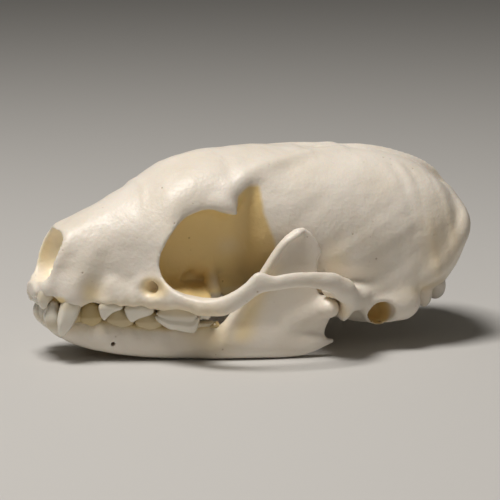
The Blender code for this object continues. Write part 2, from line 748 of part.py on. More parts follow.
def parting_cuts():
    """The cuts that part the cranium into its rostrum, its braincase and the two cheek arches."""
    front, back = ARCH_FRONT_ROW, ARCH_BACK_ROW
    arch = [
        thin_cut("arch_front_cut", CHEEK_ARCH[front][:3], CHEEK_ARCH[front + 1][:3], *ARCH_CUT_SIZE),
        thin_cut("arch_back_cut", CHEEK_ARCH[back][:3], CHEEK_ARCH[back + 1][:3], *ARCH_CUT_SIZE),
    ]
    face = thin_cut("face_cut", (FACE_CUT - 1.0, 0.0, 0.0), (FACE_CUT + 1.0, 0.0, 0.0), *FACE_CUT_SIZE)
    return [*both_sides(arch), face]


def make_cranium():
    cranium = loft("cranium", BRAINCASE, sides=36)
    combine(cranium, cranium_bones(), "UNION")
    combine(cranium, cranium_hollows(), "DIFFERENCE")
    combine(cranium, both_sides([ball("neck_knob", *NECK_KNOB)]), "UNION")
    combine(cranium, [rod("neck_hole", *NECK_HOLE)], "DIFFERENCE")
    return soften(cranium, CRANIUM_TRIANGLES, CRANIUM_SMOOTHING)


def ramus_plate():
    """The flat plate behind the teeth: its outline drawn as a curve, given thickness and leaned out."""
    curve = bpy.data.curves.new("ramus", "CURVE")
    curve.dimensions = "2D"
    curve.fill_mode = "BOTH"
    curve.extrude = RAMUS_THICKNESS / 2
    spline = curve.splines.new("POLY")
    spline.points.add(len(RAMUS_OUTLINE) - 1)
    for point, (x, z) in zip(spline.points, RAMUS_OUTLINE):
        point.co = (x, z, 0.0, 1.0)
    spline.use_cyclic_u = True
    drawn = bpy.data.objects.new("ramus_curve", curve)
    bpy.context.scene.collection.objects.link(drawn)
    graph = bpy.context.evaluated_depsgraph_get()
    mesh = bpy.data.meshes.new_from_object(drawn.evaluated_get(graph))
    bpy.data.objects.remove(drawn, do_unlink=True)
    plate = bpy.data.objects.new("ramus", mesh)
    bpy.context.scene.collection.objects.link(plate)
    form = bmesh.new()
    form.from_mesh(mesh)
    bmesh.ops.remove_doubles(form, verts=form.verts, dist=0.001)
    outline_x = [x for x, _ in RAMUS_OUTLINE]
    front, back = min(outline_x), max(outline_x)
    for vertex in form.verts:
        x, z, across = vertex.co
        along = (x - front) / (back - front)
        y = RAMUS_FRONT_Y + (RAMUS_BACK_Y - RAMUS_FRONT_Y) * along - RAMUS_LEAN * (z - RAMUS_LEAN_FROM)
        vertex.co = (x, y + across, z)
    bmesh.ops.recalc_face_normals(form, faces=form.faces)
    form.to_mesh(mesh)
    form.free()
    return plate


def make_dentary():
    """The left half of the lower jaw."""
    dentary = loft("dentary", JAW_BODY, sides=20)
    pieces = [
        ramus_plate(),
        sweep("ramus_edge", RAMUS_EDGE, sides=10, up=(1, 0, 0)),
        condyle_bar("condyle", CONDYLE_RADIUS, 0.0),
        rod("condyle_neck", *CONDYLE_NECK),
    ]
    combine(dentary, pieces, "UNION")
    soften(dentary, DENTARY_TRIANGLES, SMALL_BONE_SMOOTHING)
    combine(dentary, lower_teeth(), "UNION")
    return keep_largest(dentary)


def bone_name(piece):
    """The name of one of the cranium's four nodes, told from where it lies."""
    x, y, _ = np.mean([vertex.co for vertex in piece.data.vertices], axis=0)
    if abs(y) > ARCH_SIDE:
        return "zygomatic_arch_left" if y < 0 else "zygomatic_arch_right"
    return "rostrum" if x < FACE_CUT else "braincase"


def in_metres(obj, name, material, collection):
    """Finishes an object: its name, metres, shading, material and collection."""
    obj.name = name
    obj.data.name = name
    obj.data.transform(Matrix.Diagonal((MM, MM, MM, 1.0)))
    obj.data.materials.clear()
    obj.data.materials.append(material)
    obj.data.shade_smooth()
    for owner in list(obj.users_collection):
        owner.objects.unlink(obj)
    collection.objects.link(obj)
    return obj


def main():
    clear_scene()
    skull = new_collection("marten_skull")
    bone = bone_material("bone", (0.80, 0.74, 0.64), 0.45)
    dentary = make_dentary()
    other = mirrored(dentary)
    bulla = make_bulla()
    other_bulla = mirrored(bulla)
    cranium = make_cranium()
    combine(cranium, both_sides(upper_teeth()), "UNION")
    pocket = sweep("canine_pocket", LOWER_CANINE_POCKET, sides=TOOTH_SIDES, steps=2, up=(1, 0, 0))
    combine(cranium, both_sides([*bulla_pieces(GAP), pocket]), "DIFFERENCE")
    combine(cranium, parting_cuts(), "DIFFERENCE")
    for piece in part_surfaces(cranium, 4):
        in_metres(piece, bone_name(piece), bone, skull)
    in_metres(bulla, "auditory_bulla_left", bone, skull)
    in_metres(other_bulla, "auditory_bulla_right", bone, skull)
    in_metres(dentary, "dentary_left", bone, skull)
    in_metres(other, "dentary_right", bone, skull)


main()
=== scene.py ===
"""A marten's skull with its lower jaw closed, dressed as a museum would show it: dry ivory bone with
tan hollows, and glossy teeth. Lengths are drawn in millimetres, with the nose towards -X, the animal's
left side towards -Y and +Z up, and they are brought to metres when a mesh is made.
"""

import math

import bpy
import numpy as np
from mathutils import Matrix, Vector


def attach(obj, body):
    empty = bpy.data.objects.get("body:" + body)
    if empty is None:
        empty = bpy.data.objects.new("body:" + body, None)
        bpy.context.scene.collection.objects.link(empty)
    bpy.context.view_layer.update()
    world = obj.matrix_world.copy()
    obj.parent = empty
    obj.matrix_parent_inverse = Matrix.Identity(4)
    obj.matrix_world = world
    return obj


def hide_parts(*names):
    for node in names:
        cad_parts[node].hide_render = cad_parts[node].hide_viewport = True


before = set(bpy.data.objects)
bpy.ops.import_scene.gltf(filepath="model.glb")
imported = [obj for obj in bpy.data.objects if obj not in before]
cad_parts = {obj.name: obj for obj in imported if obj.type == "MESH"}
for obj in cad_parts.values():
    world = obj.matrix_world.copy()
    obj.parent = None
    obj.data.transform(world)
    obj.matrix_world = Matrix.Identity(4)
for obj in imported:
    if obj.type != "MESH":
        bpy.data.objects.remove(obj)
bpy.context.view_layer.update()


# Cranium
# The upper skull is one piece of grown-together bone: face, braincase, cheek arches and ear capsules. Its
# forms melt into each other, so it is worked out as a field of distances, negative inside the bone, that
# they are blended into and its hollows are blended out of. Its skin is where that field is zero.

CRANIUM_BOX = ((-44.4, -26.4, 1.0), (44.4, 0.8, 39.0))
CRANIUM_STEP = 0.42

# Forms and rooms with upright sections. Each row holds x, half width, top, height of the widest point,
# bottom and squareness.

BRAINCASE = (
    (-9.0, 5.6, 33.4, 28.5, 19.0, 2.0),
    (-5.8, 8.6, 35.0, 28.0, 16.5, 2.0),
    (-4.2, 10.1, 35.8, 28.0, 15.0, 2.0),
    (-2.8, 12.0, 36.3, 27.2, 13.6, 2.08),
    (-1.2, 13.3, 36.4, 25.8, 12.4, 2.12),
    (1.5, 14.5, 36.5, 24.0, 11.2, 2.16),
    (6.0, 15.7, 36.5, 22.0, 10.0, 2.2),
    (13.0, 16.9, 36.4, 19.5, 9.0, 2.3),
    (21.0, 17.5, 36.0, 17.8, 8.4, 2.35),
    (28.0, 17.3, 34.7, 17.0, 8.2, 2.4),
    (33.0, 16.1, 32.6, 17.4, 8.4, 2.4),
    (37.0, 13.6, 29.4, 18.6, 9.0, 2.3),
    (42.8, 9.0, 24.6, 19.4, 11.4, 2.2),
)
FACE = (
    (-42.3, 2.4, 13.9, 12.9, 12.0, 2.2),
    (-41.6, 4.2, 15.6, 13.4, 11.8, 2.2),
    (-40.6, 5.0, 19.6, 14.5, 11.6, 2.4),
    (-39.5, 5.8, 23.0, 16.0, 11.6, 2.8),
    (-37.6, 6.4, 24.3, 16.8, 11.4, 3.0),
    (-34.0, 7.1, 25.9, 17.4, 11.2, 2.5),
    (-30.0, 8.3, 27.7, 17.6, 11.0, 2.25),
    (-26.5, 9.9, 29.5, 17.4, 11.0, 2.15),
    (-24.0, 11.4, 30.6, 17.0, 11.0, 2.1),
    (-21.5, 13.5, 31.9, 16.4, 11.2, 2.1),
    (-19.0, 14.2, 33.4, 17.0, 11.6, 2.05),
    (-16.6, 12.2, 34.6, 19.5, 12.6, 2.0),
    (-15.0, 8.4, 35.0, 22.5, 14.0, 2.0),
    (-13.4, 6.4, 35.0, 24.0, 16.0, 2.0),
)
FOREHEAD = (
    (-24.0, 6.0, 28.6, 24.5, 19.5, 2.0),
    (-22.0, 8.8, 30.3, 25.2, 20.5, 2.0),
    (-19.0, 11.0, 33.0, 26.2, 22.0, 2.05),
    (-15.5, 11.6, 35.1, 27.3, 23.6, 2.1),
    (-12.0, 11.8, 36.2, 28.0, 24.6, 2.15),
    (-9.0, 12.0, 36.7, 28.0, 24.8, 2.15),
    (-7.2, 11.5, 36.8, 28.4, 24.8, 2.15),
    (-5.0, 11.0, 36.8, 31.0, 25.2, 2.1),
    (-2.0, 10.9, 36.7, 31.0, 24.6, 2.1),
    (3.0, 11.2, 36.6, 29.5, 22.0, 2.1),
    (9.0, 8.0, 34.5, 29.0, 22.0, 2.1),
)
EYE_PARTITION = (
    (-21.0, 6.0, 31.0, 22.0, 11.5, 2.4),
    (-14.0, 6.2, 34.0, 22.5, 11.8, 2.4),
    (-9.0, 6.8, 35.2, 24.0, 11.8, 2.3),
    (-4.0, 8.6, 35.6, 26.0, 11.6, 2.2),
    (1.0, 10.0, 35.6, 25.0, 11.4, 2.2),
    (8.0, 11.0, 35.6, 22.0, 10.5, 2.2),
)
TOOTH_BED = (
    (-42.0, 2.4, 14.0, 12.9, 12.0, 2.6),
    (-41.0, 4.2, 15.0, 13.0, 11.7, 2.8),
    (-39.8, 4.9, 16.0, 13.2, 11.6, 2.8),
    (-38.6, 6.2, 17.0, 13.0, 11.2, 2.8),
    (-36.8, 7.2, 17.0, 12.8, 10.9, 2.8),
    (-35.0, 7.6, 17.0, 12.6, 10.5, 2.8),
    (-33.2, 8.0, 17.0, 12.4, 10.4, 3.0),
    (-31.5, 9.1, 16.5, 12.0, 10.5, 3.2),
    (-30.0, 9.8, 16.5, 12.0, 10.5, 3.4),
    (-27.0, 10.7, 16.0, 11.8, 10.2, 3.4),
    (-24.0, 11.8, 16.0, 11.6, 9.8, 3.4),
    (-21.0, 12.8, 15.5, 11.4, 9.3, 3.4),
    (-18.6, 13.8, 14.6, 11.2, 9.0, 3.4),
    (-16.0, 14.7, 13.6, 11.0, 9.0, 3.2),
    (-14.5, 14.8, 13.0, 11.0, 9.2, 3.2),
    (-12.2, 13.4, 12.8, 11.3, 9.6, 3.0),
    (-11.0, 8.4, 12.8, 11.6, 10.4, 3.0),
    (-8.0, 5.2, 13.4, 12.2, 10.9, 3.0),
    (-4.0, 4.6, 13.6, 12.2, 10.9, 3.0),
)
PALATE_VAULT = (
    (-35.6, 2.6, 12.0, 10.0, 7.0, 2.2),
    (-34.4, 4.8, 12.4, 10.0, 6.0, 2.2),
    (-33.0, 5.8, 12.6, 10.0, 6.0, 2.2),
    (-28.0, 6.8, 12.7, 10.0, 6.0, 2.2),
    (-22.0, 7.8, 12.7, 10.0, 6.0, 2.2),
    (-16.0, 8.4, 12.6, 9.6, 6.0, 2.2),
    (-11.5, 6.4, 12.2, 9.6, 6.0, 2.2),
    (-9.0, 3.4, 11.6, 9.6, 6.0, 2.2),
)
BRAIN_ROOM = (
    (12.0, 7.0, 26.0, 20.0, 14.0, 2.1),
    (18.0, 11.0, 30.0, 19.0, 12.5, 2.2),
    (26.0, 13.0, 31.5, 18.5, 11.2, 2.3),
    (31.0, 13.0, 31.0, 18.4, 10.8, 2.3),
    (34.5, 10.5, 28.4, 18.8, 11.6, 2.3),
)
NOSE_ROOM = (
    (-44.0, 3.6, 24.6, 18.6, 14.9, 2.3),
    (-41.5, 4.3, 22.6, 18.0, 14.6, 2.5),
    (-39.0, 5.0, 23.2, 18.0, 14.2, 2.7),
    (-37.6, 5.2, 23.6, 18.2, 14.2, 2.7),
    (-36.6, 4.8, 23.2, 18.6, 14.8, 2.5),
    (-35.4, 3.2, 21.8, 18.8, 16.2, 2.2),
    (-34.8, 1.6, 20.4, 19.0, 17.6, 2.0),
)

# Past every form, and next to nothing, in millimetres.

FAR_OFF = 99.0
TINY = 1e-3


def smooth_rows(rows, steps):
    """Catmull-Rom curve through the rows: each span is a cubic of its two ends and their neighbours."""
    table = np.array(rows, np.float32)
    before = np.vstack([2 * table[0] - table[1], table[:-2]])
    after = np.vstack([table[2:], 2 * table[-1] - table[-2]])
    start, end = table[:-1], table[1:]
    t = (np.arange(steps) / steps)[None, :, None]
    woven = 0.5 * (
        2 * start[:, None]
        + (end - before)[:, None] * t
        + (2 * before - 5 * start + 4 * end - after)[:, None] * t**2
        + (3 * start - before - 3 * end + after)[:, None] * t**3
    )
    return np.vstack([woven.reshape(-1, table.shape[1]), table[-1:]])


def radial_gap(reach, rho, least):
    """Distance to an oval's edge along the ray from its centre: the reach, times one minus one over rho. In
    the centre itself, where no ray starts, it is minus the least half width."""
    return np.where(rho > TINY, reach * (1.0 - 1.0 / np.maximum(rho, TINY)), -least)


def body(rows, steps=6):
    """Form through upright sections, where rho is ((y / half width)^n + (z / half height)^n)^(1 / n) and n
    is the squareness. A seventh number in a row is the y of its middle, which is otherwise 0."""
    table = smooth_rows([(*row, 0.0)[:7] for row in rows], steps)
    low = (table[0, 0], (table[:, 6] - table[:, 1]).min(), table[:, 4].min())
    high = (table[-1, 0], (table[:, 6] + table[:, 1]).max(), table[:, 2].max())

    def gap(x, y, z):
        width, top, widest, bottom, square, middle = (
            np.interp(x, table[:, 0], table[:, k]).astype(np.float32) for k in range(1, 7)
        )
        across = y - middle
        tall = np.where(z > widest, top - widest, widest - bottom)
        rho = ((np.abs(across) / width) ** square + (np.abs(z - widest) / tall) ** square) ** (1 / square)
        side = radial_gap(np.sqrt(across**2 + (z - widest) ** 2), rho, np.minimum(width, tall))
        ends = np.maximum(low[0] - x, x - high[0])
        return np.maximum(side, ends)

    return low, high, gap


# Bars and canals. Each row holds x, y, z, half height and half thickness.

CANINE_SWELLING = (
    (-32.0, -5.3, 20.6, 1.6, 1.3),
    (-34.0, -5.8, 17.2, 2.3, 1.8),
    (-35.5, -6.2, 13.9, 2.5, 1.9),
    (-36.3, -6.35, 12.0, 2.25, 1.7),
)
CHEEK_ARCH = (
    (-23.5, -9.6, 14.0, 3.0, 2.4),
    (-21.0, -12.6, 13.4, 3.1, 2.2),
    (-18.6, -15.8, 12.7, 2.1, 1.8),
    (-15.8, -18.6, 11.7, 1.65, 1.45),
    (-12.9, -20.8, 11.8, 1.75, 1.2),
    (-10.4, -22.2, 13.5, 1.85, 1.0),
    (-8.2, -23.0, 15.4, 1.95, 0.9),
    (-7.0, -23.3, 16.1, 2.05, 0.85),
    (-5.5, -23.6, 16.0, 1.6, 0.8),
    (-3.8, -23.8, 15.95, 1.3, 0.8),
    (-1.0, -24.0, 16.3, 1.35, 0.8),
    (3.5, -24.0, 16.1, 1.45, 0.85),
    (7.0, -23.5, 15.3, 1.65, 0.95),
    (10.0, -22.3, 13.5, 1.85, 1.1),
    (12.4, -20.4, 11.4, 2.1, 1.4),
    (14.2, -17.6, 10.5, 2.1, 2.0),
    (15.6, -14.5, 10.7, 2.2, 2.6),
)
BROW_POINT = ((-10.6, -10.6, 28.6, 1.5, 1.6), (-8.6, -11.8, 27.9, 1.1, 1.2), (-7.6, -12.6, 27.0, 0.5, 0.5))
ORBIT_PILLAR = ((-10.0, -7.2, 11.6, 1.7, 1.7), (-9.9, -6.4, 13.6, 1.3, 1.3), (-9.7, -5.2, 15.8, 0.9, 0.9))
FRONT_FORAMEN = ((-13.6, -9.4, 13.9, 1.0, 1.0), (-13.4, -5.0, 14.4, 0.9, 0.9))
REAR_FORAMEN = ((-7.4, -9.5, 12.6, 0.8, 1.0), (-6.4, -5.0, 13.2, 0.8, 1.0))
INFRAORBITAL_CANAL = (
    (-23.8, -11.9, 14.1, 1.1, 0.9),
    (-21.4, -11.1, 14.4, 1.2, 0.9),
    (-17.5, -10.6, 15.0, 1.3, 1.0),
    (-14.0, -9.6, 15.8, 1.1, 0.9),
)
EAR_SHELF = (
    (12.0, -16.4, 11.2, 1.6, 1.6),
    (16.5, -15.6, 11.2, 1.3, 1.4),
    (22.0, -15.4, 12.0, 1.4, 1.4),
    (27.5, -15.9, 13.0, 1.4, 1.3),
    (31.0, -15.7, 14.8, 1.1, 1.0),
    (33.6, -14.8, 17.2, 1.0, 0.8),
    (36.6, -13.7, 20.0, 0.9, 0.7),
    (38.3, -11.9, 22.2, 0.9, 0.6),
    (38.5, -9.6, 23.7, 0.9, 0.6),
    (38.0, -6.6, 25.0, 0.9, 0.6),
    (38.6, -3.4, 25.7, 0.9, 0.6),
    (40.4, 0.0, 25.4, 1.0, 0.8),
)
CROWN_CREST = (
    (14.0, 0.0, 35.7, 1.0, 0.7),
    (22.0, 0.0, 35.4, 1.0, 0.6),
    (29.0, 0.0, 34.2, 0.95, 0.5),
    (35.0, 0.0, 31.7, 0.95, 0.5),
    (38.2, 0.0, 28.9, 0.95, 0.55),
    (40.2, 0.0, 25.9, 0.9, 0.7),
)
TEMPLE_LINE = (
    (-8.8, -11.0, 28.8, 1.1, 1.1),
    (-7.8, -10.8, 30.4, 1.1, 1.0),
    (-6.0, -10.1, 31.8, 1.0, 0.9),
    (-4.2, -9.5, 32.9, 0.9, 0.8),
    (-2.0, -8.9, 33.8, 0.8, 0.7),
    (2.0, -7.6, 34.7, 0.6, 0.6),
    (6.0, -6.3, 35.2, 0.5, 0.5),
    (10.0, -4.6, 35.4, 0.5, 0.5),
    (17.0, -2.2, 35.6, 0.4, 0.5),
)
SOCKET_ROOF = (
    (8.6, -9.5, 12.8, 2.0, 2.4),
    (8.8, -14.0, 12.6, 1.6, 2.4),
    (9.2, -18.0, 12.8, 1.6, 2.3),
    (10.0, -21.2, 13.2, 1.6, 2.0),
)
SOCKET_WALL = (
    (12.0, -10.6, 10.0, 2.0, 1.1),
    (12.0, -14.0, 9.4, 2.4, 1.0),
    (11.9, -17.4, 9.0, 2.5, 1.0),
    (11.4, -20.4, 10.2, 2.0, 1.1),
)
PAROCCIPITAL = ((29.6, -10.4, 11.5, 2.6, 3.0), (30.5, -11.2, 8.9, 1.7, 1.9), (30.8, -11.4, 7.4, 0.8, 0.8))
NECK_HOLE = ((29.0, 0.0, 13.6, 3.9, 4.8), (44.0, 0.0, 12.8, 4.0, 4.9))
THROAT = ((-10.0, 0.0, 10.0, 2.3, 3.0), (4.5, 0.0, 9.3, 2.6, 3.2))
CONDYLE_X = 8.5
CONDYLE_Z = 9.5
SOCKET_GROOVE = ((CONDYLE_X, -23.0, CONDYLE_Z, 1.9, 1.9), (CONDYLE_X, -10.0, CONDYLE_Z, 1.9, 1.9))
PTERYGOID = (
    (-8.0, -4.6, 12.6, 1.6, 0.8),
    (-4.0, -4.3, 11.0, 2.3, 0.6),
    (0.0, -4.1, 10.4, 2.5, 0.5),
    (3.6, -4.1, 9.6, 2.2, 0.45),
    (5.6, -4.3, 8.2, 1.1, 0.45),
    (7.6, -4.6, 7.2, 0.5, 0.4),
)
EAR_TUBE = ((19.2, -10.5, 8.1, 3.0, 3.4), (19.6, -15.6, 7.8, 2.9, 3.3))
EAR_HOLE = ((19.5, -13.4, 7.6, 2.1, 2.3), (19.7, -18.6, 7.3, 2.3, 2.7))


def bar(rows, up=(0.0, 0.0, 1.0), steps=4):
    """Oval bar along a path. Each row holds x, y, z, half height and half thickness, and the height points
    towards up. A point belongs to the span of the path where it has the smallest gap."""
    table = smooth_rows(rows, steps)
    reach = table[:, 3:].max()
    low = table[:, :3].min(axis=0) - reach
    high = table[:, :3].max(axis=0) + reach

    def gap(x, y, z):
        best = np.full(np.broadcast_shapes(x.shape, y.shape, z.shape), FAR_OFF, np.float32)
        for one, two in zip(table[:-1], table[1:]):
            along = two[:3] - one[:3]
            length = np.linalg.norm(along)
            if length < TINY:
                continue
            along = along / length
            across = np.cross(along, up)
            across = across / np.linalg.norm(across)
            height = np.cross(across, along)
            dx, dy, dz = x - one[0], y - one[1], z - one[2]
            forward = dx * along[0] + dy * along[1] + dz * along[2]
            share = np.clip(forward / length, 0.0, 1.0)
            past = forward - share * length
            rise = dx * height[0] + dy * height[1] + dz * height[2]
            wide = dx * across[0] + dy * across[1] + dz * across[2]
            a = one[3] + (two[3] - one[3]) * share
            b = one[4] + (two[4] - one[4]) * share
            rho = np.sqrt((rise / a) ** 2 + (wide / b) ** 2 + (past / b) ** 2)
            out = np.sqrt(rise**2 + wide**2 + past**2)
            best = np.minimum(best, radial_gap(out, rho, np.minimum(a, b)))
        return best

    return low, high, gap


# Round swellings and dents. Each holds a centre, three radii, and its turn and lean where it has them.

INCISOR_BED = ((-38.6, -1.8, 11.7), (2.2, 2.8, 1.3))
CANINE_DENT = ((-33.2, -10.4, 14.0), (1.9, 2.2, 2.1))
LIP_DENT = ((-28.8, -12.8, 14.8), (3.2, 2.4, 1.4))
SNOUT_DENT = ((-28.6, -14.4, 20.0), (5.6, 4.4, 5.0))
CANAL_DISH = ((-25.0, -13.7, 14.1), (3.2, 2.6, 2.2), -12.0)
MASTOID = ((24.4, -15.8, 8.9), (3.4, 2.6, 3.3))
NECK_CONDYLE = ((35.0, -5.8, 10.2), (2.4, 2.5, 3.6), -14.0, 18.0)
EAR_CAPSULE = ((18.4, -9.3, 8.4), (8.9, 4.7, 3.7), -16.0)
EAR_CAPSULE_SIDE = ((22.6, -14.8, 8.6), (3.0, 2.2, 2.8))
JAW_NECK_ROOM = ((8.0, -16.8, 12.3), (2.2, 1.8, 1.9))
TOOTH_PITS = (
    ((-39.3, -3.6, 11.2), (1.75, 1.8, 2.0), -18.0),
    ((-32.9, -5.7, 10.6), (2.7, 1.6, 1.3), -18.0),
    ((-28.2, -6.6, 10.6), (2.2, 1.6, 1.4), -18.0),
    ((-23.2, -8.1, 10.0), (2.2, 1.7, 1.4), -18.0),
    ((-17.2, -9.8, 9.2), (3.0, 1.8, 1.3), -18.0),
)


def ball(centre, radii, turn=0.0, lean=0.0):
    """Ellipsoid, turned about Z and then leaned about Y by degrees. Rho is the root of the squares of
    each own coordinate over its radius."""
    centre = np.array(centre, np.float32)
    c, s = math.cos(math.radians(turn)), math.sin(math.radians(turn))
    cl, sl = math.cos(math.radians(lean)), math.sin(math.radians(lean))
    reach = max(radii)

    def gap(x, y, z):
        dx, dy, dz = x - centre[0], y - centre[1], z - centre[2]
        u, v = c * dx + s * dy, -s * dx + c * dy
        u, w = cl * u + sl * dz, -sl * u + cl * dz
        rho = np.sqrt((u / radii[0]) ** 2 + (v / radii[1]) ** 2 + (w / radii[2]) ** 2)
        return radial_gap(np.sqrt(u**2 + v**2 + w**2), rho, min(radii))

    return centre - reach, centre + reach, gap


ORBIT_CENTRE = (-13.9, 20.4)
ORBIT_RADII = (8.75, 6.4)
ORBIT_TILT = 38.0
ORBIT_BOX = ((-23.0, -26.0, 11.0), (-4.5, -3.0, 30.0))
ORBIT_NARROWS = 0.5
ORBIT_NARROWS_FROM = -12.0
ORBIT_NARROWS_OVER = 9.0


def in_orbit_oval(x, z):
    """Distances from the orbit's centre along its tilted oval and across it."""
    c, s = math.cos(math.radians(ORBIT_TILT)), math.sin(math.radians(ORBIT_TILT))
    dx, dz = x - ORBIT_CENTRE[0], z - ORBIT_CENTRE[1]
    return c * dx + s * dz, -s * dx + c * dz


def orbit():
    """Room of the left eye, from the side down to the middle of the skull: an oval tube whose rho is that of
    its tilted oval, and whose size lessens inwards by the square of the way."""

    def gap(x, y, z):
        u, v = in_orbit_oval(x, z)
        inwards = np.clip((y - ORBIT_NARROWS_FROM) / ORBIT_NARROWS_OVER, 0.0, 1.0)
        narrow = 1.0 - ORBIT_NARROWS * inwards**2
        rho = np.sqrt((u / ORBIT_RADII[0]) ** 2 + (v / ORBIT_RADII[1]) ** 2) / narrow
        return radial_gap(np.sqrt(u**2 + v**2), rho, min(ORBIT_RADII))

    return *ORBIT_BOX, gap


BACK_SLOPE = ((34.7, 12.0), (42.2, 26.6))
BACK_BOX = ((33.0, -22.0, 2.0), (46.0, 22.0, 34.0))
BACK_BOW = 0.008
BACK_MARGIN = 0.5


def back_of_head():
    """All that lies behind the slope of the occiput, which bows in a little: the gap to a plane, plus a
    share of the square of y."""
    (x0, z0), (x1, z1) = BACK_SLOPE
    length = math.hypot(x1 - x0, z1 - z0)
    nx, nz = (z1 - z0) / length, -(x1 - x0) / length

    def gap(x, y, z):
        return -((x - x0) * nx + (z - z0) * nz) + BACK_BOW * y**2 - BACK_MARGIN

    return *BACK_BOX, gap


NOSE_BOX = ((-45.0, -9.0, 14.0), (-35.0, 9.0, 27.0))
NOSE_FLOOR = 15.2
NOSE_RIM_HEIGHTS = (14.0, 15.6, 16.2, 18.8, 21.3, 22.8, 23.8)
NOSE_RIM_PLACES = (-41.5, -40.8, -40.5, -39.9, -38.7, -37.8, -38.4)
NOSE_ROOF_HEIGHTS = (23.0, 24.0)
NOSE_ROOF_BEND = (0.0, 0.07)
NOSE_RIM_SLOPE = 0.85


def nose_rim():
    """All that lies in front of the nose opening's rim, above the floor of the nose. The rim slants back
    towards its top, where the roof of the nose juts out and curves back by a share of the square of y."""

    def gap(x, y, z):
        bend = np.interp(z, NOSE_ROOF_HEIGHTS, NOSE_ROOF_BEND).astype(np.float32)
        rim = np.interp(z, NOSE_RIM_HEIGHTS, NOSE_RIM_PLACES).astype(np.float32) + bend * y**2
        return np.maximum(NOSE_RIM_SLOPE * (x - rim), NOSE_FLOOR - z)

    return *NOSE_BOX, gap


